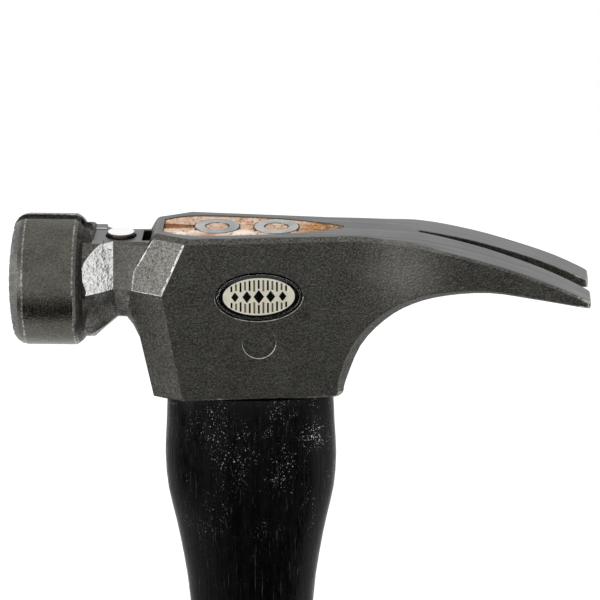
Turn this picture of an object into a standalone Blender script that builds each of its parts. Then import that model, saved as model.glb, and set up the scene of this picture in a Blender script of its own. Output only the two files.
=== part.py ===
"""Framing hammer with a milled face, a faceted cast head and a wedged hickory handle.

Frame: +Z runs up the handle to the head, the striking face looks along -X, the claws
point along +X and the cheek with the badge faces -Y. The origin is the centre of the
flat butt end. Head sizes below are in head axes: z is zero on the flat top of the head.
"""

import math

import bmesh
import bpy
import numpy as np
from mathutils import Matrix, Vector

MM = 0.001

# Overall sizes
OVERALL_LENGTH = 457.0 * MM
FIT_GAP = 0.3 * MM
WELD = 0.001 * MM

# Striking poll, turned about an axis along X
POLL_RADIUS = 19.0 * MM
POLL_AXIS_Z = -16.6 * MM
POLL_REAR_X = -48.7 * MM
POLL_EDGE_X = -63.9 * MM
FACE_CENTRE_X = -69.2 * MM
FACE_CROWN_RADIUS = 78.0 * MM
COLLAR_RADIUS = 16.5 * MM
COLLAR_FLAT_Z = -2.8 * MM
COLLAR_END_X = -40.4 * MM

# Cross milled teeth of the striking face
TOOTH_PITCH = 2.8 * MM
TOOTH_DEPTH = 0.9 * MM
TOOTH_TOP_SHARE = 0.36

# Nail starter: groove, magnet seat and notch for the nail head
GROOVE_HALF_WIDTH = 2.2 * MM
GROOVE_DEPTH = 1.9 * MM
SHELF_Z = -3.2 * MM
SHELF_START_X = -44.6 * MM
SHELF_HALF_WIDTH = 5.4 * MM
MAGNET_X = -36.9 * MM
MAGNET_RADIUS = 4.1 * MM
MAGNET_HEIGHT = 4.1 * MM
MAGNET_RISE = 1.2 * MM
NOTCH_X = -29.3 * MM
NOTCH_LENGTH = 2.4 * MM
NOTCH_HALF_WIDTH = 4.6 * MM
NOTCH_DEPTH = 2.6 * MM

# Cheeks of the eye body: half width at NOSE_X and how fast they close towards the claws
NOSE_X = -17.9 * MM
CHEEK_HALF_WIDTH = 14.1 * MM
CHEEK_CLOSING = 0.0971
SOLE_Z = -49.0 * MM
TOP_BEVEL = 1.3 * MM
SOLE_BEVEL = 0.7 * MM
NOSE_TOP_BEVEL = 0.8 * MM
NOSE_EDGE_BEVEL = 0.35 * MM

# Eye outline as (x, half width) from the poll side to the claw side
EYE_OUTLINE = (
    (-24.5, 5.4), (-20.5, 8.0), (-16.0, 9.2), (-9.0, 9.2), (-2.0, 8.6),
    (6.0, 7.6), (14.0, 5.9), (21.0, 3.6), (27.0, 1.0),
)
EYE_BREAK_Z = -18.0 * MM
EYE_BREAK_SHARE = 0.985
EYE_SOLE_SHARE = 0.87

# Claws: (x, half width, z) stations of the top rim, and of the keel line underneath
TOP_STATIONS = (
    (16.0, 9.5, 0.0), (18.0, 9.3, 0.0), (20.0, 9.1, 0.0), (23.0, 8.8, 0.0), (32.0, 8.7, -0.1),
    (40.0, 9.6, -0.6), (47.4, 11.1, -1.2), (56.0, 12.7, -2.9), (68.0, 13.6, -5.9),
    (80.5, 14.2, -9.9), (88.7, 14.6, -13.0), (95.8, 14.5, -16.3), (97.7, 13.6, -17.2),
)
KEEL_STATIONS = (
    (20.0, 9.8, -49.0), (25.0, 8.5, -49.0), (27.2, 8.0, -47.7), (27.9, 7.6, -44.6), (32.2, 7.4, -33.6),
    (39.2, 7.8, -25.5), (47.0, 9.2, -20.2), (56.5, 11.4, -16.8), (68.8, 13.1, -15.3),
    (81.2, 14.0, -16.7), (89.3, 14.4, -17.9), (96.0, 14.3, -19.1), (97.5, 13.4, -19.4),
)
KEEL_BEVELS = (0.7, 0.9, 1.8, 2.4, 2.6, 2.5, 2.2, 1.5, 1.0, 0.8, 0.7, 0.6, 0.5)
RIM_BEVELS = (1.3, 1.3, 1.25, 1.2, 1.15, 1.0, 0.9, 0.75, 0.65, 0.6, 0.55, 0.5, 0.4)
TOP_CROWNS = (0.0, 0.0, 0.0, 0.0, 0.05, 0.15, 0.3, 0.45, 0.5, 0.4, 0.15, 0.0, 0.0)
STATION_STEPS = 3

# Nail pulling slot between the claws
SLOT_START_X = 49.2 * MM
SLOT_START_HALF_WIDTH = 0.8 * MM
SLOT_END_HALF_WIDTH = 3.9 * MM
SLOT_TIP_X = 96.0 * MM

# Badge and round mark recess on the near cheek
BADGE_X = 3.2 * MM
BADGE_Z = -17.5 * MM
BADGE_HALF_LENGTH = 12.1 * MM
BADGE_HALF_HEIGHT = 6.85 * MM
BADGE_SEAT_MARGIN = 0.45 * MM
BADGE_SEAT_DEPTH = 1.8 * MM
PLATE_THICKNESS = 0.8 * MM
DOME_RISE = 1.1 * MM
MARK_Z = -31.3 * MM
MARK_RADIUS = 4.75 * MM
MARK_DEPTH = 0.5 * MM

# Ring wedges and kerf wedge in the top of the tenon
WOOD_DROP = 0.3 * MM
RING_XS = (-9.2 * MM, 7.8 * MM)
RING_OUTER_RADIUS = 6.4 * MM
RING_INNER_RADIUS = 3.5 * MM
RING_DEPTH = 15.0 * MM
WEDGE_START_X = -15.5 * MM
WEDGE_END_X = 22.0 * MM
WEDGE_TOP_HALF = 1.6 * MM
WEDGE_TIP_HALF = 0.6 * MM
WEDGE_DEPTH = 36.0 * MM
KERF_MOUTH_HALF = 3.0 * MM
KERF_MOUTH_DEPTH = 4.0 * MM

# Handle sections as (z in head axes, half width in X, half width in Y)
HANDLE_SECTIONS = (
    (-49.3, 23.6, 12.0), (-51.0, 24.2, 12.6), (-60.0, 24.6, 13.2), (-70.0, 25.1, 13.5),
    (-80.0, 24.4, 13.3), (-90.0, 22.3, 12.7), (-102.0, 20.1, 12.1), (-118.0, 18.2, 11.7),
    (-150.0, 16.8, 11.6), (-200.0, 16.6, 12.1), (-260.0, 17.2, 12.8), (-320.0, 17.9, 13.4),
    (-370.0, 18.0, 13.5), (-405.0, 18.2, 13.5), (-430.0, 20.4, 14.4), (-446.0, 22.6, 15.2),
    (-454.0, 22.9, 15.4), (-457.0, 21.6, 14.2),
)
HANDLE_ROUND_POINTS = 40
HANDLE_SQUARENESS = 2.35


def clear_scene():
    """Take every object out of the scene."""
    for item in list(bpy.data.objects):
        bpy.data.objects.remove(item, do_unlink=True)


def lifted(mesh):
    """Move bmesh geometry from head axes into the part frame."""
    bmesh.ops.translate(mesh, verts=mesh.verts, vec=(0.0, 0.0, OVERALL_LENGTH))
    return mesh


def new_object(name, mesh):
    """Turn bmesh geometry into a scene object."""
    bmesh.ops.remove_doubles(mesh, verts=mesh.verts, dist=1e-7)
    bmesh.ops.recalc_face_normals(mesh, faces=mesh.faces)
    data = bpy.data.meshes.new(name)
    mesh.to_mesh(data)
    mesh.free()
    item = bpy.data.objects.new(name, data)
    bpy.context.scene.collection.objects.link(item)
    return item


def combined(target, tool, operation):
    """Join, cut or intersect the target with a tool body and use the tool up."""
    change = target.modifiers.new("change", "BOOLEAN")
    change.operation = operation
    change.solver = "EXACT"
    change.object = tool
    graph = bpy.context.evaluated_depsgraph_get()
    result = bpy.data.meshes.new_from_object(target.evaluated_get(graph))
    target.modifiers.clear()
    welded = bmesh.new()
    welded.from_mesh(result)
    bmesh.ops.remove_doubles(welded, verts=welded.verts, dist=WELD)
    bmesh.ops.dissolve_degenerate(welded, edges=welded.edges, dist=0.5 * WELD)
    welded.to_mesh(result)
    welded.free()
    target.data = result
    bpy.data.objects.remove(tool, do_unlink=True)
    return target


def material(name, colour, metallic, roughness):
    """Make a plain Principled material."""
    made = bpy.data.materials.new(name)
    made.use_nodes = True
    shader = made.node_tree.nodes["Principled BSDF"]
    shader.inputs["Base Color"].default_value = (*colour, 1.0)
    shader.inputs["Metallic"].default_value = metallic
    shader.inputs["Roughness"].default_value = roughness
    return made


def dress(item, made, smooth_angle=None):
    """Give the object its material and, where asked, smooth shading below an angle."""
    item.data.materials.clear()
    item.data.materials.append(made)
    if smooth_angle is None:
        return item
    for face in item.data.polygons:
        face.use_smooth = True
    item.data.set_sharp_from_angle(angle=math.radians(smooth_angle))
    return item


def ring_loft(rings, closed_ends=True):
    """Skin rings that have equal numbers of points."""
    mesh = bmesh.new()
    rows = [[mesh.verts.new(point) for point in ring] for ring in rings]
    count = len(rows[0])
    for row, following in zip(rows, rows[1:]):
        for index in range(count):
            after = (index + 1) % count
            mesh.faces.new((row[index], row[after], following[after], following[index]))
    if closed_ends:
        mesh.faces.new(rows[0])
        mesh.faces.new(rows[-1])
    return mesh


def prism(outline, low, high, axis="Z"):
    """Extrude a plan outline between two levels along Z or Y."""
    if axis == "Z":
        rings = [[(x, y, level) for x, y in outline] for level in (low, high)]
    else:
        rings = [[(x, level, z) for x, z in outline] for level in (low, high)]
    return ring_loft(rings)


def turned(profile, steps, centre_z):
    """Turn an (x, radius) profile about an axis along X at the given height."""
    rings = []
    for x, radius in profile:
        ring = []
        for step in range(steps):
            angle = 2.0 * math.pi * (step + 0.5) / steps
            ring.append((x, radius * math.sin(angle), centre_z + radius * math.cos(angle)))
        rings.append(ring)
    return ring_loft(rings)


def upright_tube(centre, outer, inner, low, high, steps=36):
    """Make a ring shaped body standing along Z."""
    mesh = bmesh.new()
    loops = []
    for radius, level in ((outer, low), (outer, high), (inner, high), (inner, low)):
        loop = []
        for step in range(steps):
            angle = 2.0 * math.pi * step / steps
            place = (centre[0] + radius * math.cos(angle), centre[1] + radius * math.sin(angle), level)
            loop.append(mesh.verts.new(place))
        loops.append(loop)
    for first, second in zip(loops, loops[1:] + loops[:1]):
        for step in range(steps):
            after = (step + 1) % steps
            mesh.faces.new((first[step], first[after], second[after], second[step]))
    return mesh


def mirrored_ring(half, ridge=()):
    """Close a ring from its near side points, given from top to bottom, after any ridge point."""
    near = [(x, -width, z) for x, width, z in half]
    far = [(x, width, z) for x, width, z in reversed(half)]
    return list(ridge) + near + far


def eased(stations, steps):
    """Run a smooth curve through the stations and return it at finer steps."""
    points = np.array(stations, dtype=float)
    padded = np.vstack((2 * points[0] - points[1], points, 2 * points[-1] - points[-2]))
    fine = []
    for index in range(len(points) - 1):
        p0, p1, p2, p3 = padded[index:index + 4]
        for step in range(steps):
            t = step / steps
            bend = 2 * p0 - 5 * p1 + 4 * p2 - p3
            twist = 3 * p1 - p0 - 3 * p2 + p3
            fine.append(0.5 * (2 * p1 + (p2 - p0) * t + bend * t * t + twist * t ** 3))
    fine.append(points[-1])
    return np.array(fine)


def inward_normals(line):
    """Unit normals of a line of stations in the XZ plane, pointing up into the body."""
    along = np.gradient(line, axis=0)
    normals = np.stack((-along[:, 2], np.zeros(len(line)), along[:, 0]), axis=1)
    return normals / np.linalg.norm(normals, axis=1)[:, None]


def cheek_at(x):
    """Half width of the cheek plane at x."""
    return CHEEK_HALF_WIDTH - CHEEK_CLOSING * (x - NOSE_X)


def body_rings():
    """Rings of the eye body and claws, from ahead of the nose back to the claw tips."""
    front_x = NOSE_X - 18.0 * MM
    wide = cheek_at(front_x)
    rings = [mirrored_ring((
        (front_x, wide - TOP_BEVEL, 0.0),
        (front_x, wide, -TOP_BEVEL),
        (front_x, wide, SOLE_Z + SOLE_BEVEL),
        (front_x, wide - SOLE_BEVEL, SOLE_Z),
    ), [(front_x, 0.0, 0.0)])]
    rims = eased(TOP_STATIONS, STATION_STEPS) * MM
    rims[:, 2] = np.minimum(rims[:, 2], 0.0)
    keels = eased(KEEL_STATIONS, STATION_STEPS) * MM
    keels[:, 2] = np.maximum(keels[:, 2], SOLE_Z)
    rim_bevels = eased([(size,) for size in RIM_BEVELS], STATION_STEPS)[:, 0] * MM
    keel_bevels = eased([(size,) for size in KEEL_BEVELS], STATION_STEPS)[:, 0] * MM
    crowns = eased([(size,) for size in TOP_CROWNS], STATION_STEPS)[:, 0] * MM
    hems = keels + inward_normals(keels) * keel_bevels[:, None]
    hems[:, 0] = np.maximum.accumulate(hems[:, 0])
    for index, (rim, hem, keel) in enumerate(zip(rims, hems, keels)):
        top_bevel = rim_bevels[index]
        half = (
            tuple(rim),
            (rim[0], max(rim[1] + top_bevel, cheek_at(rim[0])), rim[2] - top_bevel),
            (hem[0], max(keel[1] + keel_bevels[index], cheek_at(hem[0])), hem[2]),
            tuple(keel),
        )
        rings.append(mirrored_ring(half, [(rim[0], 0.0, rim[2] + crowns[index])]))
    return rings


def nose_planes():
    """Facet planes of the nose as (point, outward normal), near and far sides."""
    planes = []
    for side in (-1.0, 1.0):
        corner = Vector((-24.7, side * 14.6, -16.6)) * MM
        upper = Vector((-0.465, side * 0.852, 0.241)).normalized()
        lower = Vector((-0.476, side * 0.8735, -0.099)).normalized()
        top_edge = Vector((-21.0, side * 11.95, 0.0)) * MM
        bevel = (upper + Vector((0.0, 0.0, 1.0))).normalized()
        planes.append((corner, upper))
        planes.append((corner, lower))
        planes.append((top_edge - bevel * NOSE_TOP_BEVEL, bevel))
    planes.append((Vector((-32.5, 0.0, -25.0)) * MM, Vector((-0.979, 0.0, -0.204)).normalized()))
    planes.append((Vector((-27.6, 0.0, -1.8)) * MM, Vector((-0.872, 0.0, 0.49)).normalized()))
    planes.append((Vector((-26.1, 0.0, 0.0)) * MM, Vector((-0.5, 0.0, 0.866)).normalized()))
    return planes


def shaved(mesh, point, outward):
    """Cut away what lies outside a plane and close the cut."""
    geometry = list(mesh.verts) + list(mesh.edges) + list(mesh.faces)
    cut = bmesh.ops.bisect_plane(
        mesh, geom=geometry, plane_co=point, plane_no=outward, clear_outer=True, dist=1e-7)
    edges = [part for part in cut["geom_cut"] if isinstance(part, bmesh.types.BMEdge)]
    if edges:
        bmesh.ops.contextual_create(mesh, geom=edges)
    return mesh


def make_body():
    """Eye body with nose facets and claws."""
    mesh = ring_loft(body_rings())
    for point, outward in nose_planes():
        shaved(mesh, point, outward)
    bmesh.ops.recalc_face_normals(mesh, faces=mesh.faces)
    mesh.normal_update()
    crisp = []
    for edge in mesh.edges:
        middle = (edge.verts[0].co + edge.verts[1].co) / 2.0
        if middle.x < NOSE_X + 1.5 * MM and edge.calc_face_angle(0.0) > math.radians(12.0):
            crisp.append(edge)
    bmesh.ops.bevel(mesh, geom=crisp, offset=NOSE_EDGE_BEVEL, segments=2, profile=0.5,
                    affect="EDGES", clamp_overlap=True)
    return new_object("head", lifted(mesh))


def neck_rings():
    """Rings of the faceted neck, from inside the poll back into the nose."""
    stations = (
        ((-50.0, 15.2, 1.5), (-50.0, 15.4, -0.5), (-50.0, 18.2, -16.6),
         (-50.0, 16.0, -24.6), (-50.0, 11.0, -33.0), (-50.0, 6.5, -37.0)),
        ((-41.8, 8.6, 1.5), (-41.8, 8.9, -0.5), (-41.8, 11.8, -16.6),
         (-41.6, 10.3, -22.4), (-41.2, 8.0, -28.0), (-41.2, 5.2, -29.2)),
        ((-41.3, 8.0, -3.2), (-41.3, 9.0, -4.1), (-41.3, 11.35, -16.6),
         (-41.1, 9.9, -22.3), (-40.8, 7.8, -27.7), (-40.8, 5.1, -28.9)),
        ((-38.7, 5.6, -3.2), (-38.7, 6.4, -4.1), (-38.7, 9.0, -16.6),
         (-38.2, 7.9, -21.6), (-37.8, 6.6, -25.4), (-37.8, 4.6, -26.4)),
        ((-29.4, 6.1, -3.2), (-29.0, 7.4, -4.1), (-33.5, 9.8, -16.6),
         (-34.6, 8.2, -21.8), (-35.2, 6.8, -25.4), (-35.2, 4.8, -26.4)),
        ((-27.0, 6.4, -3.2), (-27.0, 7.9, -4.1), (-31.0, 10.2, -16.6),
         (-32.6, 8.2, -22.6), (-33.2, 7.2, -26.8), (-33.4, 5.4, -28.6)),
        ((-24.0, 7.6, -3.6), (-24.0, 8.7, -4.6), (-28.0, 10.4, -16.8),
         (-30.0, 8.2, -25.0), (-31.2, 7.6, -31.0), (-31.7, 6.4, -31.8)),
        ((-20.0, 6.0, -6.0), (-20.0, 7.0, -8.0), (-22.0, 8.0, -18.0),
         (-24.0, 7.0, -28.0), (-25.0, 6.6, -35.0), (-25.6, 5.0, -36.5)),
    )
    rings = []
    for half in stations:
        rings.append(mirrored_ring([tuple(value * MM for value in point) for point in half]))
    return rings


def make_neck():
    """Neck with its collar end turned to the collar radius."""
    neck = new_object("neck", lifted(ring_loft(neck_rings())))
    outside = 2.2 * POLL_RADIUS
    profile = (
        (POLL_EDGE_X, COLLAR_RADIUS), (POLL_EDGE_X, outside),
        (COLLAR_END_X, outside), (COLLAR_END_X, COLLAR_RADIUS),
    )
    mesh = turned(profile + profile[:1], 72, POLL_AXIS_Z)
    seam = [face for face in mesh.faces if len(face.verts) > 4]
    bmesh.ops.delete(mesh, geom=seam, context="FACES")
    tool = new_object("turning", lifted(mesh))
    return combined(neck, tool, "DIFFERENCE")


def poll_profile():
    """(x, radius) points of the turned poll, from the rear to ahead of the face."""
    return (
        (POLL_REAR_X + 4.0 * MM, 0.8 * COLLAR_RADIUS),
        (POLL_REAR_X + 1.7 * MM, COLLAR_RADIUS - 0.1 * MM),
        (POLL_REAR_X + 0.8 * MM, COLLAR_RADIUS + 1.1 * MM),
        (POLL_REAR_X, POLL_RADIUS - 0.7 * MM),
        (POLL_REAR_X - 0.9 * MM, POLL_RADIUS),
        (POLL_EDGE_X, POLL_RADIUS),
        (POLL_EDGE_X - 1.4 * MM, POLL_RADIUS - 0.4 * MM),
        (POLL_EDGE_X - 2.6 * MM, POLL_RADIUS - 1.2 * MM),
        (POLL_EDGE_X - 3.5 * MM, POLL_RADIUS - 2.4 * MM),
        (FACE_CENTRE_X - 2.0 * MM, POLL_RADIUS - 4.0 * MM),
    )


def crown_x(y, z):
    """X of the crowned face at a point off its centre."""
    off = min(math.hypot(y, z), 0.9 * FACE_CROWN_RADIUS)
    return FACE_CENTRE_X + FACE_CROWN_RADIUS - math.sqrt(FACE_CROWN_RADIUS ** 2 - off ** 2)


def milling_tool():
    """Block whose rear side is the negative of the crowned face with its teeth."""
    mesh = bmesh.new()
    half_top = 0.5 * TOOTH_PITCH * TOOTH_TOP_SHARE
    cells = int(math.ceil(POLL_RADIUS / TOOTH_PITCH)) + 1
    lines = []
    for index in range(-cells, cells + 1):
        centre = index * TOOTH_PITCH
        lines += [(centre - half_top, 1), (centre + half_top, 1)]
        if index < cells:
            lines.append((centre + 0.5 * TOOTH_PITCH, 0))
    grid = []
    for y, y_top in lines:
        row = []
        for z, z_top in lines:
            depth = 0.0 if y_top and z_top else TOOTH_DEPTH
            row.append(mesh.verts.new((crown_x(y, z) + depth, y, POLL_AXIS_Z + z)))
        grid.append(row)
    for i in range(len(lines) - 1):
        for j in range(len(lines) - 1):
            corners = (grid[i][j], grid[i + 1][j], grid[i + 1][j + 1], grid[i][j + 1])
            tops = [lines[i][1] and lines[j][1], lines[i + 1][1] and lines[j][1],
                    lines[i + 1][1] and lines[j + 1][1], lines[i][1] and lines[j + 1][1]]
            a, b, c, d = corners
            if sum(tops) == 1 and (tops[1] or tops[3]):
                mesh.faces.new((a, b, d))
                mesh.faces.new((b, c, d))
            else:
                mesh.faces.new((a, b, c))
                mesh.faces.new((a, c, d))
    ahead = FACE_CENTRE_X - 12.0 * MM
    last = len(lines) - 1
    rim = [grid[i][0] for i in range(last)] + [grid[last][j] for j in range(last)]
    rim += [grid[i][last] for i in range(last, 0, -1)] + [grid[0][j] for j in range(last, 0, -1)]
    front = [mesh.verts.new((ahead, vert.co.y, vert.co.z)) for vert in rim]
    for index, vert in enumerate(rim):
        after = (index + 1) % len(rim)
        mesh.faces.new((vert, rim[after], front[after], front[index]))
    mesh.faces.new(front)
    return new_object("milling", lifted(mesh))


def make_poll():
    """Turned poll with the milled, crowned striking face."""
    poll = new_object("poll", lifted(turned(poll_profile(), 72, POLL_AXIS_Z)))
    return combined(poll, milling_tool(), "DIFFERENCE")


def eye_loop(margin, share=1.0, points_each=5):
    """Closed plan outline of the eye, shrunk by a margin and to a share of its length."""
    stations = eased(EYE_OUTLINE, points_each)
    side = [(x * MM * share, width * MM * math.sqrt(share)) for x, width in stations]
    loop = [(x, -width) for x, width in side] + [(x, width) for x, width in reversed(side)]
    if not margin:
        return loop
    shrunk = []
    count = len(loop)
    for index in range(count):
        before, after = Vector(loop[index - 1]), Vector(loop[(index + 1) % count])
        along = (after - before).normalized()
        shrunk.append((loop[index][0] - along.y * margin, loop[index][1] + along.x * margin))
    return shrunk


def eye_share(level):
    """Share of the eye's full plan size at a level: straight past the rings, then tapering."""
    if level > EYE_BREAK_Z:
        return 1.0 - (1.0 - EYE_BREAK_SHARE) * level / EYE_BREAK_Z
    below = (level - EYE_BREAK_Z) / (SOLE_Z - EYE_BREAK_Z)
    return EYE_BREAK_SHARE + (EYE_SOLE_SHARE - EYE_BREAK_SHARE) * below


def eye_body(margin, high, low):
    """Tapered body with the eye's plan, between two levels."""
    rings = []
    for level in (high, EYE_BREAK_Z, low):
        rings.append([(x, y, level) for x, y in eye_loop(margin, eye_share(level))])
    return ring_loft(rings)


def slot_outline():
    """Plan outline of the nail pulling slot, open past the claw tips."""
    end_x = TOP_STATIONS[-1][0] * MM
    side = [
        (SLOT_START_X, SLOT_START_HALF_WIDTH),
        (SLOT_TIP_X, SLOT_END_HALF_WIDTH),
        (end_x - 0.5 * MM, SLOT_END_HALF_WIDTH + 0.5 * MM),
        (end_x + 0.3 * MM, SLOT_END_HALF_WIDTH + 1.6 * MM),
        (end_x + 6.0 * MM, SLOT_END_HALF_WIDTH + 1.7 * MM),
    ]
    apex = []
    for step in range(1, 6):
        angle = math.pi * (0.5 + step / 6.0)
        apex.append((SLOT_START_X + SLOT_START_HALF_WIDTH * math.cos(angle),
                     SLOT_START_HALF_WIDTH * math.sin(angle)))
    return [(x, -width) for x, width in reversed(side)] + apex[::-1] + side


def oval(centre_x, centre_z, half_length, half_height, steps=48):
    """Oval outline in the XZ plane."""
    points = []
    for step in range(steps):
        angle = 2.0 * math.pi * step / steps
        points.append((centre_x + half_length * math.cos(angle), centre_z + half_height * math.sin(angle)))
    return points


def onto_cheek(mesh, x, z):
    """Turn geometry made around the origin, facing -Y, onto the near cheek plane."""
    turn = Matrix.Rotation(math.atan(CHEEK_CLOSING), 4, "Z")
    place = Matrix.Translation((x, -cheek_at(x), z + OVERALL_LENGTH))
    bmesh.ops.transform(mesh, matrix=place @ turn, verts=mesh.verts)
    return mesh


def cheek_recesses():
    """Tools for the badge seat and for the round mark recess."""
    seat = prism(
        oval(0.0, 0.0, BADGE_HALF_LENGTH + BADGE_SEAT_MARGIN, BADGE_HALF_HEIGHT + BADGE_SEAT_MARGIN),
        -5.0 * MM, BADGE_SEAT_DEPTH, axis="Y")
    mark = prism(oval(0.0, 0.0, MARK_RADIUS, MARK_RADIUS, 40), -5.0 * MM, MARK_DEPTH, axis="Y")
    return [
        new_object("seat", onto_cheek(seat, BADGE_X, BADGE_Z)),
        new_object("mark", onto_cheek(mark, BADGE_X, MARK_Z)),
    ]


def box_tool(name, low, high):
    """Axis aligned box tool in head axes."""
    outline = ((low[0], low[1]), (high[0], low[1]), (high[0], high[1]), (low[0], high[1]))
    return new_object(name, lifted(prism(outline, low[2], high[2])))


def groove_tool(name, radius, start_x, end_x):
    """Rounded groove for the nail shank along the top of a round of this radius."""
    top_z = POLL_AXIS_Z + radius
    rise = 0.55 * GROOVE_HALF_WIDTH
    section = []
    for step in range(9):
        angle = math.pi * (1.0 + step / 8.0)
        level = top_z - GROOVE_DEPTH + rise * (1.0 + math.sin(angle))
        section.append((GROOVE_HALF_WIDTH * math.cos(angle), level))
    section += [(GROOVE_HALF_WIDTH, top_z + 5.0 * MM), (-GROOVE_HALF_WIDTH, top_z + 5.0 * MM)]
    rings = [[(x, y, z) for y, z in section] for x in (start_x, end_x)]
    return new_object(name, lifted(ring_loft(rings)))


def starter_tools():
    """Tools of the nail starter: groove, shelf across the collar, magnet seat and notch."""
    seat_floor = SHELF_Z + MAGNET_RISE - MAGNET_HEIGHT - FIT_GAP
    seat = upright_disc(MAGNET_X, MAGNET_RADIUS + FIT_GAP, seat_floor, SHELF_Z + 8.0 * MM)
    shoulder = ((2.0, 0.8), (2.0, 0.1), (0.9, -0.5), (0.25, -1.5), (0.0, -2.7))
    flat = [(SHELF_START_X - back * MM, COLLAR_FLAT_Z + (2.7 + rise) * MM) for back, rise in shoulder]
    flat += [(COLLAR_END_X, COLLAR_FLAT_Z), (COLLAR_END_X, COLLAR_FLAT_Z + 3.5 * MM)]
    flat_half = COLLAR_RADIUS - FIT_GAP
    return [
        groove_tool("poll_groove", POLL_RADIUS, FACE_CENTRE_X - 2.0 * MM, POLL_REAR_X + 2.3 * MM),
        groove_tool("collar_groove", COLLAR_RADIUS, POLL_REAR_X + 0.3 * MM, SHELF_START_X + 0.4 * MM),
        new_object("collar_flat", lifted(prism(flat, -flat_half, flat_half, axis="Y"))),
        box_tool("shelf", (SHELF_START_X, -SHELF_HALF_WIDTH, SHELF_Z),
                 (COLLAR_END_X, SHELF_HALF_WIDTH, SHELF_Z + 12.0 * MM)),
        new_object("magnet_seat", lifted(seat)),
        box_tool("notch", (NOTCH_X - 0.5 * NOTCH_LENGTH, -NOTCH_HALF_WIDTH, SHELF_Z - NOTCH_DEPTH),
                 (NOTCH_X + 0.5 * NOTCH_LENGTH, NOTCH_HALF_WIDTH, SHELF_Z + 2.0 * MM)),
    ]


def upright_disc(x, radius, low, high, steps=36):
    """Round body standing along Z on the centre plane."""
    outline = []
    for step in range(steps):
        angle = 2.0 * math.pi * step / steps
        outline.append((x + radius * math.cos(angle), radius * math.sin(angle)))
    return prism(outline, low, high)


def make_head():
    """One piece cast head: poll, collar, neck, eye body and claws."""
    head = make_body()
    combined(head, make_neck(), "UNION")
    combined(head, make_poll(), "UNION")
    eye = new_object("eye", lifted(eye_body(0.0, 5.0 * MM, SOLE_Z - 5.0 * MM)))
    slot = new_object("slot", lifted(prism(slot_outline(), SOLE_Z, 5.0 * MM)))
    for tool in [eye, slot] + cheek_recesses() + starter_tools():
        combined(head, tool, "DIFFERENCE")
    return dress(head, material("cast_steel", (0.055, 0.053, 0.048), 0.9, 0.48), 24.0)


def handle_ring(level, half_x, half_y):
    """One rounded section of the handle."""
    ring = []
    for step in range(HANDLE_ROUND_POINTS):
        angle = 2.0 * math.pi * step / HANDLE_ROUND_POINTS
        cosine, sine = math.cos(angle), math.sin(angle)
        power = 2.0 / HANDLE_SQUARENESS
        x = half_x * math.copysign(abs(cosine) ** power, cosine)
        y = half_y * math.copysign(abs(sine) ** power, sine)
        ring.append((x, y, level))
    return ring


def wedge_body(margin, start_x, end_x, top_z):
    """Tapered flat wedge, grown by a margin, for the wedge itself or its kerf."""
    rings = []
    for level, half in ((top_z, WEDGE_TOP_HALF), (-WEDGE_DEPTH - margin, WEDGE_TIP_HALF)):
        wide = half + margin
        rings.append([(start_x - margin, -wide, level), (end_x + margin, -wide, level),
                      (end_x + margin, wide, level), (start_x - margin, wide, level)])
    return ring_loft(rings)


def kerf_mouth():
    """Open front end of the kerf with its slanted walls."""
    front_x = EYE_OUTLINE[0][0] * MM - 1.0 * MM
    back_x = WEDGE_START_X + 1.0 * MM
    low = -WOOD_DROP - KERF_MOUTH_DEPTH
    rings = [
        [(front_x, -KERF_MOUTH_HALF, 1.0 * MM), (back_x, -WEDGE_TOP_HALF, 1.0 * MM),
         (back_x, WEDGE_TOP_HALF, 1.0 * MM), (front_x, KERF_MOUTH_HALF, 1.0 * MM)],
        [(front_x, -0.6 * MM, low), (back_x, -0.5 * MM, low),
         (back_x, 0.5 * MM, low), (front_x, 0.6 * MM, low)],
    ]
    return ring_loft(rings)


def make_handle():
    """Handle with its tenon, kerf and the round slots for the ring wedges."""
    levels = eased(HANDLE_SECTIONS, 2) * MM
    handle = new_object("handle", lifted(ring_loft([handle_ring(*level) for level in levels])))
    tenon = eye_body(FIT_GAP, -WOOD_DROP, SOLE_Z - 6.0 * MM)
    combined(handle, new_object("tenon", lifted(tenon)), "UNION")
    tools = [new_object("kerf", lifted(wedge_body(FIT_GAP, WEDGE_START_X, WEDGE_END_X, 2.0 * MM))),
             new_object("mouth", lifted(kerf_mouth()))]
    for x in RING_XS:
        tools.append(ring_slot(x))
    for tool in tools:
        combined(handle, tool, "DIFFERENCE")
    return dress(handle, material("black_lacquer", (0.012, 0.012, 0.013), 0.0, 0.35), 40.0)


def ring_slot(x):
    """Tool for the round slot that a ring wedge stands in."""
    return new_object("ring_slot", lifted(upright_tube(
        (x, 0.0), RING_OUTER_RADIUS + FIT_GAP, RING_INNER_RADIUS - FIT_GAP,
        -RING_DEPTH - FIT_GAP, 2.0 * MM)))


def make_kerf_wedge():
    """Flat wooden wedge, cut where the ring wedges pass through it."""
    wedge = new_object("kerf_wedge", lifted(wedge_body(0.0, WEDGE_START_X, WEDGE_END_X, -WOOD_DROP)))
    for x in RING_XS:
        combined(wedge, ring_slot(x), "DIFFERENCE")
    return dress(wedge, material("wedge_wood", (0.55, 0.34, 0.19), 0.0, 0.7))


def make_ring_wedges():
    """Two round steel wedges."""
    steel = material("wedge_steel", (0.42, 0.45, 0.46), 1.0, 0.4)
    for name, x in zip(("ring_wedge_front", "ring_wedge_rear"), RING_XS):
        tube = upright_tube((x, 0.0), RING_OUTER_RADIUS, RING_INNER_RADIUS, -RING_DEPTH, 0.0)
        dress(new_object(name, lifted(tube)), steel, 40.0)


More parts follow.
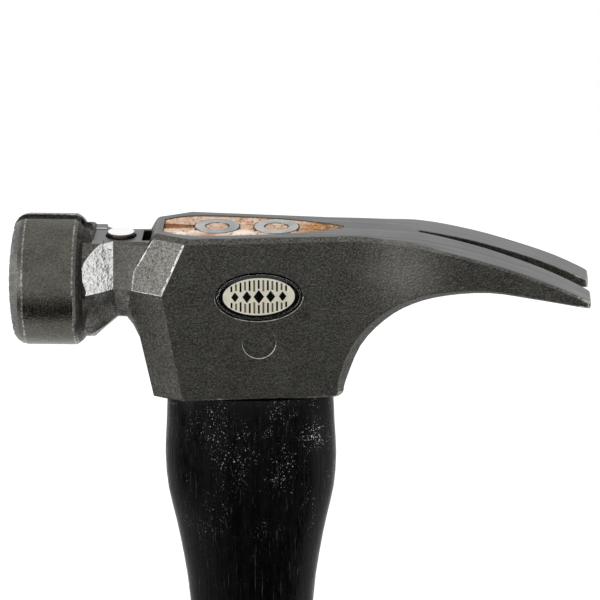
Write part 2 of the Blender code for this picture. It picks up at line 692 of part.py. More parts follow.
def make_magnet():
    """Disc magnet of the nail starter with a small rounded rim."""
    rim = 0.4 * MM
    top = SHELF_Z + MAGNET_RISE
    low = top - MAGNET_HEIGHT
    rings = []
    for level, radius in ((low, MAGNET_RADIUS), (top - rim, MAGNET_RADIUS), (top, MAGNET_RADIUS - rim)):
        ring = []
        for step in range(36):
            angle = 2.0 * math.pi * step / 36
            ring.append((MAGNET_X + radius * math.cos(angle), radius * math.sin(angle), level))
        rings.append(ring)
    magnet = new_object("nail_magnet", lifted(ring_loft(rings)))
    return dress(magnet, material("nickel", (0.78, 0.77, 0.74), 1.0, 0.12), 40.0)


def make_badge():
    """Printed oval plate in the cheek and the clear dome over it."""
    back = BADGE_SEAT_DEPTH - FIT_GAP
    plate = prism(oval(0.0, 0.0, BADGE_HALF_LENGTH, BADGE_HALF_HEIGHT), back - PLATE_THICKNESS, back, axis="Y")
    plate = new_object("badge_plate", onto_cheek(plate, BADGE_X, BADGE_Z))
    dress(plate, material("badge_print", (0.02, 0.02, 0.02), 0.0, 0.3), 40.0)
    rear = back - PLATE_THICKNESS - 0.1 * MM
    rings = []
    for share, depth in ((1.0, 0.0), (1.0, 0.25), (0.94, 0.55), (0.8, 0.8), (0.5, 0.95), (0.12, 1.0)):
        outline = oval(0.0, 0.0, BADGE_HALF_LENGTH * share, BADGE_HALF_HEIGHT * share)
        rings.append([(x, rear - DOME_RISE * depth, z) for x, z in outline])
    dome = new_object("badge_dome", onto_cheek(ring_loft(rings), BADGE_X, BADGE_Z))
    return dress(dome, material("clear_resin", (0.9, 0.9, 0.9), 0.0, 0.05), 40.0)


def main():
    """Build every piece of the hammer."""
    clear_scene()
    make_head()
    make_handle()
    make_kerf_wedge()
    make_ring_wedges()
    make_magnet()
    make_badge()


main()
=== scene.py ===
"""Looks of a milled face framing hammer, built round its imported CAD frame."""

from __future__ import annotations

import logging
import math
from dataclasses import dataclass, replace
from enum import Enum

import bmesh
import bpy
from mathutils import Matrix, Vector, noise


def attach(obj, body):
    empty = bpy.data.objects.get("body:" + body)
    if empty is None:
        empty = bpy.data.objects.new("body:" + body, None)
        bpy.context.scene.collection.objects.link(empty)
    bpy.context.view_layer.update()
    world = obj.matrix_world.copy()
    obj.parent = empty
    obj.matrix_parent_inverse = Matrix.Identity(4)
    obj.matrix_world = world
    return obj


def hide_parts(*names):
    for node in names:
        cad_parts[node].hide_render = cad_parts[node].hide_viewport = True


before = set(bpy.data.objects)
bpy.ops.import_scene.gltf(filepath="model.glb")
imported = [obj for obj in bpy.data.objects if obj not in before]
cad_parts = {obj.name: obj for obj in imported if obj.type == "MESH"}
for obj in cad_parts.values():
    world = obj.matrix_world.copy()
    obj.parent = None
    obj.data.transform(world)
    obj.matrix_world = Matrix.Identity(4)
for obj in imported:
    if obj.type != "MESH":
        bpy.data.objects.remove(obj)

LOG = logging.getLogger("hammer")

MM = 0.001
HEAD_TOP = 457.0
BODY = "root"
HAIR_WIDTH = 0.12
CORNER_ANGLE = 40.0

Colour = tuple[float, float, float]
Span = tuple[float, float]
Mesh = bmesh.types.BMesh
Face = bmesh.types.BMFace
Edge = bmesh.types.BMEdge
Layer = bmesh.types.BMLayerItem
Tree = bpy.types.NodeTree
Socket = bpy.types.NodeSocket
Sockets = bpy.types.bpy_prop_collection
Material = bpy.types.Material
Piece = bpy.types.Object
Value = Socket | float
Tone = Socket | Colour


class HeadZone(Enum):
    """How a face of the head was left, or the painted light or shade it carries: the value is its material
    slot.
    """

    CAST = 0
    GROUND = 1
    SHELF = 2
    POLL = 3
    TOOTH = 4
    BARE = 5
    RECESS = 6
    COLLAR = 7
    HEM = 8
    SCALE = 9
    NOSE = 10
    NECK = 11


def head_point(x: float, y: float, z: float) -> Vector:
    """Turns a place given from the middle of the head's top into the frame.

    Args:
        x: Millimetres towards the claws.
        y: Millimetres towards the far cheek.
        z: Millimetres above the head's top face.

    Returns:
        The place in metres, in the row frame.
    """
    return Vector((x, y, z + HEAD_TOP)) * MM


def head_axes(place: Vector) -> Vector:
    """Returns a frame place in millimetres from the middle of the head's top."""
    return Vector((place.x, place.y, place.z - HEAD_TOP * MM)) / MM


def face_middle(face: Face) -> Vector:
    """Returns a face's middle in millimetres from the middle of the head's top."""
    return head_axes(face.calc_center_median())


def edge_middle(edge: Edge) -> Vector:
    """Returns an edge's middle in millimetres from the middle of the head's top."""
    return head_axes((edge.verts[0].co + edge.verts[1].co) / 2)


def near(place: Vector, middle: Span, reach: Span) -> bool:
    """Tells whether a place lies in an oval on the cheek, given its middle and half sizes."""
    return math.hypot((place.x - middle[0]) / reach[0], (place.z - middle[1]) / reach[1]) < 1.0


class Graph:
    """A shader node tree being wired, with short calls for the nodes used here."""

    def __init__(self, tree: Tree) -> None:
        """Keeps the tree that the calls add to."""
        self.tree = tree

    def add(self, kind: str, inputs: dict | None = None, **settings: str | Tree) -> bpy.types.Node:
        """Adds one node.

        Args:
            kind: Blender's type name of the node.
            inputs: Socket name or number to a value, or to a socket to link from.
            settings: Properties of the node.

        Returns:
            The node.
        """
        node = self.tree.nodes.new(kind)
        for key, value in settings.items():
            setattr(node, key, value)
        for key, value in (inputs or {}).items():
            self.feed(node.inputs[key], value)
        return node

    def feed(self, socket: Socket, value: Value | Colour) -> None:
        """Links a socket, or sets a plain value or colour, into an input.

        Args:
            socket: The input.
            value: The socket to link from, or what to set.
        """
        if isinstance(value, Socket):
            self.tree.links.new(value, socket)
        elif socket.type == "RGBA":
            socket.default_value = (*value, 1.0)
        else:
            socket.default_value = value

    def place(self) -> Socket:
        """Returns the object's own coordinates, in metres."""
        return self.add("ShaderNodeTexCoord").outputs["Object"]

    def height(self, vector: Socket) -> Socket:
        """Returns the z part of coordinates, in metres."""
        return self.add("ShaderNodeSeparateXYZ", {0: vector}).outputs["Z"]

    def stretch(self, vector: Socket, factors: Colour) -> Socket:
        """Returns coordinates multiplied axis by axis."""
        node = self.add("ShaderNodeVectorMath", {0: vector, 1: factors}, operation="MULTIPLY")
        return node.outputs[0]

    def noise(self, vector: Socket, scale: Value, detail: float = 2.0, rough: float = 0.5) -> Socket:
        """Returns a cloudy value round 0.5."""
        sockets = {"Vector": vector, "Scale": scale, "Detail": detail, "Roughness": rough}
        return self.add("ShaderNodeTexNoise", sockets).outputs["Fac"]

    def streaks(self, vector: Socket, factors: Colour, detail: float = 2.0, rough: float = 0.5) -> Socket:
        """Returns a cloudy value drawn out by its own scale on each axis."""
        return self.noise(self.stretch(vector, factors), 1.0, detail, rough)

    def math(self, operation: str, first: Value, second: Value) -> Socket:
        """Returns the result of one sum."""
        return self.add("ShaderNodeMath", {0: first, 1: second}, operation=operation).outputs[0]

    def times(self, first: Value, second: Value) -> Socket:
        """Returns two values multiplied."""
        return self.math("MULTIPLY", first, second)

    def plus(self, first: Value, second: Value) -> Socket:
        """Returns two values added."""
        return self.math("ADD", first, second)

    def fit(self, value: Value, low: Value, high: Value, start: float = 0.0, end: float = 1.0) -> Socket:
        """Eases a value from one range into another and holds it at its ends.

        Args:
            value: The value.
            low: Where it starts to change.
            high: Where it stops.
            start: What comes out at low and beyond it.
            end: What comes out at high and beyond it.

        Returns:
            The eased value.
        """
        sockets = {"Value": value, "From Min": low, "From Max": high, "To Min": start, "To Max": end}
        node = self.add("ShaderNodeMapRange", sockets, interpolation_type="SMOOTHSTEP")
        return node.outputs["Result"]

    def mix(self, share: Value, first: Tone, second: Tone) -> Socket:
        """Returns one colour passing into another."""
        return self.add("ShaderNodeMix", {0: share, 6: first, 7: second}, data_type="RGBA").outputs[2]

    def bump(self, height: Socket, distance: float, strength: float) -> Socket:
        """Returns a normal tilted by a height from 0 to 1 that stands for a distance in metres."""
        sockets = {"Height": height, "Distance": distance, "Strength": strength}
        return self.add("ShaderNodeBump", sockets).outputs["Normal"]


class Effect:
    """A shared effect: a node group with named inputs and outputs."""

    def __init__(self, name: str, inputs: dict[str, float | None], outputs: tuple[str, ...]) -> None:
        """Makes the empty group.

        Args:
            name: Name of the group.
            inputs: Socket name to its plain value, or None for a vector.
            outputs: Names of the values put out.
        """
        self.tree = bpy.data.node_groups.new(name, "ShaderNodeTree")
        for socket, value in inputs.items():
            kind = "NodeSocketVector" if value is None else "NodeSocketFloat"
            made = self.tree.interface.new_socket(socket, in_out="INPUT", socket_type=kind)
            if value is not None:
                made.default_value = value
        for socket in outputs:
            self.tree.interface.new_socket(socket, in_out="OUTPUT", socket_type="NodeSocketFloat")
        self.graph = Graph(self.tree)
        self.inside = self.tree.nodes.new("NodeGroupInput").outputs
        self.result = self.tree.nodes.new("NodeGroupOutput").inputs

    def put(self, name: str, socket: Socket) -> None:
        """Links a value to one of the outputs."""
        self.graph.feed(self.result[name], socket)

    def use(self, graph: Graph, **inputs: Value | Colour) -> Sockets:
        """Places the effect in a material.

        Args:
            graph: The material's graph.
            inputs: Input names, each with a value or a socket.

        Returns:
            The placed group's outputs.
        """
        names = [item.name for item in self.tree.interface.items_tree if item.in_out == "INPUT"]
        numbered = {names.index(name): value for name, value in inputs.items()}
        return graph.add("ShaderNodeGroup", numbered, node_tree=self.tree).outputs


def cast_grain() -> Effect:
    """Makes the grain of cast steel: fine lumps, scattered pits and slow mottling.

    Returns:
        The effect, which puts out a height, a mask of bright flecks and a slow mottle.
    """
    inputs = {"Vector": None, "Grain": 2200.0, "Pits": 900.0}
    effect = Effect("cast_grain", inputs, ("Height", "Fleck", "Mottle"))
    g, inside = effect.graph, effect.inside
    lumps = g.noise(inside["Vector"], inside["Grain"], 2.0, 0.6)
    cells = g.add("ShaderNodeTexVoronoi", {"Vector": inside["Vector"], "Scale": inside["Pits"]})
    pits = g.fit(cells.outputs["Distance"], 0.05, 0.4)
    coarse = g.noise(inside["Vector"], g.times(inside["Grain"], 0.3), 2.0)
    height = g.plus(g.times(lumps, 0.55), g.times(pits, 0.25))
    effect.put("Height", g.plus(height, g.times(coarse, 0.4)))
    effect.put("Fleck", g.fit(lumps, 0.36, 0.68))
    slow = g.noise(inside["Vector"], g.times(inside["Grain"], 0.07), 3.0)
    effect.put("Mottle", g.fit(slow, 0.3, 0.7))
    return effect


def edge_wear() -> Effect:
    """Makes the mask of bare bright metal where a flagged edge has been rubbed.

    Returns:
        The effect, which puts out the mask of bare metal.
    """
    effect = Effect("edge_wear", {"Vector": None, "Wear": 0.0, "Patch": 500.0, "Amount": 1.0}, ("Mask",))
    g, inside = effect.graph, effect.inside
    patches = g.noise(inside["Vector"], inside["Patch"], 3.0, 0.6)
    rubbed = g.times(inside["Wear"], inside["Amount"])
    value = g.plus(rubbed, g.math("SUBTRACT", patches, 0.5))
    mask = g.fit(value, 0.3, 0.62)
    effect.put("Mask", g.times(mask, g.fit(inside["Wear"], 0.0, 0.15)))
    return effect


def brushed_lines() -> Effect:
    """Makes fine parallel lines; the coordinates that come in are stretched along them.

    Returns:
        The effect, which puts out a height and a mask of pale streaks.
    """
    effect = Effect("brushed_lines", {"Vector": None, "Lines": 1.0}, ("Height", "Streak"))
    g, inside = effect.graph, effect.inside
    fine = g.noise(inside["Vector"], inside["Lines"], 2.0, 0.6)
    broad = g.noise(inside["Vector"], g.times(inside["Lines"], 0.22), 2.0, 0.5)
    effect.put("Height", g.plus(g.times(fine, 0.7), g.times(broad, 0.3)))
    streak = g.plus(g.times(fine, 0.5), g.times(broad, 0.5))
    effect.put("Streak", g.fit(streak, 0.38, 0.62))
    return effect


def wood_fibre() -> Effect:
    """Makes open pores drawn out along the coordinates' stretched axis, and slow bands.

    Returns:
        The effect, which puts out a height, a mask of pores and a slow band.
    """
    effect = Effect("wood_fibre", {"Vector": None, "Pores": 1.0, "Bands": 0.2}, ("Height", "Pore", "Band"))
    g, inside = effect.graph, effect.inside
    fibres = g.noise(inside["Vector"], inside["Pores"], 3.0, 0.55)
    pores = g.fit(g.noise(inside["Vector"], g.times(inside["Pores"], 0.6), 2.0), 0.55, 0.66)
    effect.put("Height", g.math("SUBTRACT", fibres, g.times(pores, 0.8)))
    effect.put("Pore", pores)
    effect.put("Band", g.fit(g.noise(inside["Vector"], inside["Bands"], 2.0), 0.35, 0.65))
    return effect


def sheen_and_wear_patch() -> Effect:
    """Makes a soft round patch, fading out at a distance from its middle; it places painted sheen and glints
    on steel and lacquer, and crumbled and pale spots on end grain.

    Returns:
        The effect, which puts out the patch's mask.
    """
    effect = Effect("sheen_and_wear_patch", {"Vector": None, "Middle": None, "Reach": 0.01}, ("Mask",))
    g, inside = effect.graph, effect.inside
    sockets = {0: inside["Vector"], 1: inside["Middle"]}
    distance = g.add("ShaderNodeVectorMath", sockets, operation="DISTANCE").outputs["Value"]
    ragged = g.times(g.noise(inside["Vector"], 300.0, 2.0), g.times(inside["Reach"], 0.5))
    effect.put("Mask", g.fit(g.plus(distance, ragged), g.times(inside["Reach"], 1.25), 0.0))
    return effect


@dataclass(frozen=True)
class Effects:
    """The shared effects, each made once."""

    grain: Effect
    wear: Effect
    lines: Effect
    fibre: Effect
    patch: Effect

    @classmethod
    def make(cls) -> Effects:
        """Makes every shared effect."""
        return cls(cast_grain(), edge_wear(), brushed_lines(), wood_fibre(), sheen_and_wear_patch())


def new_material(name: str) -> tuple[Material, Graph, Sockets]:
    """Starts a material with one Principled shader.

    Args:
        name: Name of the material.

    Returns:
        The material, its graph and the shader's inputs.
    """
    material = bpy.data.materials.new(name)
    material.use_nodes = True
    graph = Graph(material.node_tree)
    shader = next(node for node in material.node_tree.nodes if node.type == "BSDF_PRINCIPLED")
    return material, graph, shader.inputs


def attribute(graph: Graph, name: str) -> Socket:
    """Returns a value kept on the mesh."""
    return graph.add("ShaderNodeAttribute", attribute_name=name).outputs["Fac"]


@dataclass(frozen=True)
class CastSteel:
    """Dark cast steel with a sanded speckle, rubbed edges and, where asked, a sheen: a painted highlight
    patch.
    """

    name: str
    dark: Colour
    light: Colour
    bare: Colour = (0.45, 0.44, 0.42)
    grain: float = 1700.0
    pit_share: float = 0.42
    relief: float = 0.00014
    fleck: float = 0.16
    roughness: float = 0.44
    patch: float = 500.0
    sheen: float = 0.0
    sheen_at: Colour = (0.0, 0.0, 0.0)
    sheen_reach: float = 0.018

    def make(self, effects: Effects) -> Material:
        """Builds the material.

        Args:
            effects: The shared effects.

        Returns:
            The material.
        """
        material, g, shader = new_material(self.name)
        place = g.place()
        grain = effects.grain.use(g, Vector=place, Grain=self.grain, Pits=self.grain * self.pit_share)
        worn = effects.wear.use(g, Vector=place, Wear=attribute(g, "wear"), Patch=self.patch)["Mask"]
        skin = g.mix(grain["Mottle"], self.dark, self.light)
        skin = g.mix(g.times(grain["Fleck"], self.fleck), skin, self.bare)
        # painted highlight: a soft pale patch where the curving claw side catches the light, mixed towards
        # the bare metal colour
        if self.sheen:
            flat = g.stretch(place, (1.0, 0.0, 1.0))
            glow = effects.patch.use(g, Vector=flat, Middle=self.sheen_at, Reach=self.sheen_reach)["Mask"]
            skin = g.mix(g.times(glow, self.sheen), skin, self.bare)
        g.feed(shader["Base Color"], g.mix(worn, skin, self.bare))
        rough = g.fit(grain["Height"], 0.3, 0.9, self.roughness + 0.08, self.roughness - 0.06)
        g.feed(shader["Roughness"], g.math("SUBTRACT", rough, g.times(worn, 0.1)))
        shader["Metallic"].default_value = 1.0
        g.feed(shader["Normal"], g.bump(grain["Height"], self.relief, 0.9))
        return material


@dataclass(frozen=True)
class GroundSteel:
    """Steel ground bright, with fine lines along the head."""

    name: str
    tone: Colour
    pale: Colour
    line_grain: Colour = (70.0, 2700.0, 70.0)
    relief: float = 0.00003
    roughness: float = 0.34

    def make(self, effects: Effects) -> Material:
        """Builds the material.

        Args:
            effects: The shared effects.

        Returns:
            The material.
        """
        material, g, shader = new_material(self.name)
        place = g.place()
        lines = effects.lines.use(g, Vector=g.stretch(place, self.line_grain))
        grain = effects.grain.use(g, Vector=place, Grain=1500.0, Pits=700.0)
        worn = effects.wear.use(g, Vector=place, Wear=attribute(g, "wear"), Amount=0.8)["Mask"]
        tone = g.mix(lines["Streak"], self.tone, self.pale)
        tone = g.mix(g.times(grain["Mottle"], 0.35), tone, self.tone)
        g.feed(shader["Base Color"], g.mix(worn, tone, self.pale))
        g.feed(shader["Roughness"], g.fit(lines["Height"], 0.3, 0.7, self.roughness, self.roughness + 0.14))
        shader["Metallic"].default_value = 1.0
        g.feed(shader["Normal"], g.bump(lines["Height"], self.relief, 0.7))
        return material


@dataclass(frozen=True)
class BlackLacquer:
    """Black lacquer sunk into open hickory grain, with pale scratches and, near the head, white specks that
    are painted glints, denser in one painted highlight patch.
    """

    name: str
    black: Colour
    sheen: Colour
    rubbed: Colour
    glint: Colour
    fibre_grain: Colour = (2400.0, 2400.0, 60.0)
    scratch_grain: Colour = (2600.0, 2600.0, 35.0)
    patch_grain: Colour = (130.0, 130.0, 70.0)
    glint_grain: Colour = (3400.0, 3400.0, 2200.0)
    dapple_grain: Colour = (900.0, 900.0, 300.0)
    glints_from: float = 0.355
    glints_full: float = 0.402
    relief: float = 0.00012
    glint_cluster_at: Colour = (0.0192, -0.0095, 0.3965)
    glint_cluster_reach: float = 0.0075

    def make(self, effects: Effects) -> Material:
        """Builds the material.

        Args:
            effects: The shared effects.

        Returns:
            The material.
        """
        material, g, shader = new_material(self.name)
        place = g.place()
        fibre = effects.fibre.use(g, Vector=g.stretch(place, self.fibre_grain))
        scratch = g.fit(g.streaks(place, self.scratch_grain), 0.64, 0.74)
        patch = g.fit(g.streaks(place, self.patch_grain, 4.0, 0.65), 0.46, 0.66)
        upper = g.fit(g.height(place), self.glints_from, self.glints_full, 0.04, 1.0)
        # painted highlight: a cluster of glints where a lamp shines on the handle's near shoulder
        glint_cluster = effects.patch.use(g, Vector=place, Middle=self.glint_cluster_at, Reach=self.glint_cluster_reach)["Mask"]
        glint_dot = g.streaks(place, self.glint_grain, 1.0)
        glint_dot = g.fit(g.plus(glint_dot, g.times(glint_cluster, 0.07)), 0.665, 0.755)
        # the white specks are painted glints, spread near the head
        painted_glint = g.times(glint_dot, g.math("MAXIMUM", g.times(patch, upper), glint_cluster))
        tone = g.mix(fibre["Band"], self.black, self.sheen)
        tone = g.mix(scratch, tone, self.rubbed)
        g.feed(shader["Base Color"], g.mix(painted_glint, tone, self.glint))
        dapple = g.streaks(place, self.dapple_grain, 3.0, 0.6)
        g.feed(shader["Roughness"], g.fit(dapple, 0.35, 0.65, 0.2, 0.34))
        shader["Specular IOR Level"].default_value = 0.09
        relief = g.plus(g.times(fibre["Height"], 0.6), g.times(painted_glint, 1.2))
        g.feed(shader["Normal"], g.bump(g.plus(relief, g.times(dapple, 0.4)), self.relief, 0.6))
        return material


@dataclass(frozen=True)
class EndGrain:
    """Sawn hickory end grain, stained, torn and darkened at its cracks."""

    name: str
    tan: Colour
    orange: Colour
    dark: Colour
    pale: Colour
    fibre_grain: Colour = (1500.0, 700.0, 700.0)
    torn_grain: Colour = (260.0, 900.0, 260.0)
    torn_tone: Colour = (0.9, 0.8, 0.71)
    cream_tone: Colour = (0.97, 0.88, 0.76)
    crumb_light: Colour = (0.64, 0.33, 0.12)
    crumb_dark: Colour = (0.22, 0.09, 0.03)
    crumbled: float = 0.0
    crumbled_at: Colour = (0.0205, 0.0, 0.456)
    pale_spots: tuple[Colour, ...] = ()
    pale_reach: float = 0.0046

    def make(self, effects: Effects) -> Material:
        """Builds the material.

        Args:
            effects: The shared effects.

        Returns:
            The material.
        """
        material, g, shader = new_material(self.name)
        place = g.place()
        fibre = effects.fibre.use(g, Vector=g.stretch(place, self.fibre_grain), Bands=0.3)
        patches = g.noise(place, 260.0, 3.0, 0.6)
        ground = g.mix(g.fit(patches, 0.36, 0.64), self.tan, self.orange)
        ground = g.mix(g.times(fibre["Band"], 0.5), ground, self.pale)
        torn = g.fit(g.streaks(place, self.torn_grain, 3.0, 0.65), 0.54, 0.68)
        ground = g.mix(g.times(torn, 0.75), ground, self.torn_tone)
        along = g.stretch(place, (0.5, 1.0, 0.0))
        # paler cream spots at the given places near the tenon's near edge
        for spot in self.pale_spots:
            cream = effects.patch.use(g, Vector=along, Middle=spot, Reach=self.pale_reach)["Mask"]
            ground = g.mix(cream, ground, self.cream_tone)
        ground = g.mix(g.times(fibre["Pore"], 0.55), ground, self.dark)
        if self.crumbled:
            crumbs = effects.patch.use(g, Vector=place, Middle=self.crumbled_at, Reach=self.crumbled)["Mask"]
            clumps = g.fit(g.noise(place, 1500.0, 3.0, 0.7), 0.4, 0.58)
            brown = g.mix(clumps, self.crumb_light, self.crumb_dark)
            ground = g.mix(g.fit(crumbs, 0.0, 0.7), ground, brown)
        crack = g.fit(attribute(g, "crack"), 0.15, 0.75)
        g.feed(shader["Base Color"], g.mix(crack, ground, self.dark))
        g.feed(shader["Roughness"], g.fit(patches, 0.3, 0.7, 0.62, 0.82))
        g.feed(shader["Normal"], g.bump(fibre["Height"], 0.00025, 0.7))
        return material


@dataclass(frozen=True)
class PlainSteel:
    """Wedge and magnet steel: a plain tone with a fine rubbed grain."""

    name: str
    tone: Colour
    stain: Colour
    roughness: float
    relief: float
    line_grain: Colour = (900.0, 4200.0, 900.0)

    def make(self, effects: Effects) -> Material:
        """Builds the material.

        Args:
            effects: The shared effects.

        Returns:
            The material.
        """
        material, g, shader = new_material(self.name)
        place = g.place()
        grain = effects.grain.use(g, Vector=place, Grain=1800.0, Pits=600.0)
        lines = effects.lines.use(g, Vector=g.stretch(place, self.line_grain))
        g.feed(shader["Base Color"], g.mix(grain["Mottle"], self.tone, self.stain))
        g.feed(shader["Roughness"], g.fit(lines["Height"], 0.3, 0.7, self.roughness, self.roughness + 0.12))
        shader["Metallic"].default_value = 1.0
        g.feed(shader["Normal"], g.bump(g.plus(grain["Height"], lines["Height"]), self.relief, 0.6))
        return material


@dataclass(frozen=True)
class PrintInk:
    """Ink of the badge's print, with a slight unevenness."""

    name: str
    tone: Colour
    faded: Colour

    def make(self, effects: Effects) -> Material:
        """Builds the material.

        Args:
            effects: The shared effects.

        Returns:
            The material.
        """
        material, g, shader = new_material(self.name)
        grain = effects.grain.use(g, Vector=g.place(), Grain=1600.0, Pits=900.0)
        g.feed(shader["Base Color"], g.mix(grain["Mottle"], self.tone, self.faded))
        g.feed(shader["Roughness"], g.fit(grain["Height"], 0.2, 1.0, 0.45, 0.6))
        shader["Specular IOR Level"].default_value = 0.05
        return material


@dataclass(frozen=True)
class ClearResin:
    """Clear domed resin with a faint ripple."""

    name: str

    def make(self) -> Material:
        """Builds the material.

        Returns:
            The material.
        """
        material, g, shader = new_material(self.name)
        ripple = g.noise(g.place(), 220.0, 2.0)
        shader["Base Color"].default_value = (1.0, 1.0, 1.0, 1.0)
        shader["Transmission Weight"].default_value = 1.0
        shader["IOR"].default_value = 1.46
        shader["Specular IOR Level"].default_value = 0.3
        g.feed(shader["Roughness"], g.fit(ripple, 0.3, 0.7, 0.0, 0.03))
        return material


def mesh_copy(node: str) -> Mesh:
    """Copies a CAD node's mesh, welded and with its flat faces joined up.

    Args:
        node: Name of the node.

    Returns:
        The copy.
    """
    mesh = bmesh.new()
    mesh.from_mesh(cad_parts[node].data)
    bmesh.ops.remove_doubles(mesh, verts=mesh.verts, dist=1e-6)
    bmesh.ops.dissolve_limit(mesh, angle_limit=math.radians(0.3), verts=mesh.verts, edges=mesh.edges)
    return mesh


def broken_copy(node: str, edge_break: float, segments: int) -> Mesh:
    """Copies a CAD node's mesh and rounds its corners over.

    Args:
        node: Name of the node.
        edge_break: How far the rounding reaches from a corner, in millimetres.
        segments: Strips across it.

    Returns:
        The copy.
    """
    mesh = mesh_copy(node)
    crisp = [edge for edge in mesh.edges if edge.calc_face_angle(0.0) > math.radians(CORNER_ANGLE)]
    bmesh.ops.bevel(
        mesh, geom=crisp, offset=edge_break * MM, segments=segments, profile=0.5,
        affect="EDGES", clamp_overlap=True,
    )
    return mesh


def with_corners(faces: list[Face]) -> list:
    """Returns faces with their edges and corners, each once, as a cutting call wants them."""
    return list({item for face in faces for item in (face, *face.edges, *face.verts)})


def face_width(face: Face) -> float:
    """Returns about how wide a long face is, in millimetres."""
    return 2.0 * face.calc_area() / sum(edge.calc_length() for edge in face.edges) / MM


def crease(mesh: Mesh, strip: float, wide_angle: float, strip_angle: float) -> None:
    """Keeps the corners between wide faces crisp and lets narrow strips shade as rounds.

    Args:
        mesh: The mesh.
        strip: Faces narrower than this many millimetres count as strips.
        wide_angle: Steepest corner in degrees that shades smooth between wide faces.
        strip_angle: Steepest corner in degrees that shades smooth beside a strip.
    """
    narrow = {face for face in mesh.faces if face_width(face) < strip}
    hairs = {face for face in narrow if face_width(face) < HAIR_WIDTH}
    for face in mesh.faces:
        face.smooth = True
    for edge in mesh.edges:
        limit = strip_angle if any(face in narrow for face in edge.link_faces) else wide_angle
        beside_hair = edge.calc_length() > MM and any(face in hairs for face in edge.link_faces)
        edge.smooth = beside_hair or edge.calc_face_angle(0.0) < math.radians(limit)


def new_object(name: str, mesh: Mesh, materials: list[Material]) -> Piece:
    """Turns a mesh into an object of the scene.

    Args:
        name: Name of the object.
        mesh: Its mesh, which is freed.
        materials: Its materials, in slot order.

    Returns:
        The object.
    """
    data = bpy.data.meshes.new(name)
    mesh.to_mesh(data)
    mesh.free()
    for material in materials:
        data.materials.append(material)
    made = bpy.data.objects.new(name, data)
    bpy.context.scene.collection.objects.link(made)
    return made


def finish_piece(name: str, mesh: Mesh, materials: list[Material], sharp: float = 35.0) -> Piece:
    """Turns a mesh into a shown piece of the hammer.

    Args:
        name: Name of the piece.
        mesh: Its mesh, which is freed.
        materials: Its materials, in slot order.
        sharp: Corners steeper than this many degrees stay crisp, or 0 where they are set.

    Returns:
        The new object, riding on the hammer's body.
    """
    if sharp:
        crease(mesh, 0.0, sharp, sharp)
    piece = new_object(name, mesh, materials)
    shade = piece.modifiers.new("flat_faces", "WEIGHTED_NORMAL")
    shade.keep_sharp = True
    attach(piece, BODY)
    return piece


@dataclass(frozen=True)
class HeadWear:
    """How far the head is rubbed bright, from 0, untouched, to 1, bare metal; the lower rims of the mark and
    the badge are brighter than their tops as painted highlight where they face up to the light.
    """

    tooth_tops: float = 0.9
    face_chamfer: float = 0.22
    poll_rims: float = 0.42
    mark_foot_wear_and_highlight: float = 0.62
    mark_top: float = 0.36
    badge_foot_wear_and_highlight: float = 0.5
    badge_top: float = 0.34
    nose_edges: float = 0.85
    nose_margin: float = 0.47
    nose_foot: float = 0.22
    neck_edges: float = 0.12
    claw_rim: float = 0.28
    claw_tips: float = 0.5
    top_rim: float = 0.14
    sole_edges: float = 0.35
    other_edges: float = 0.2


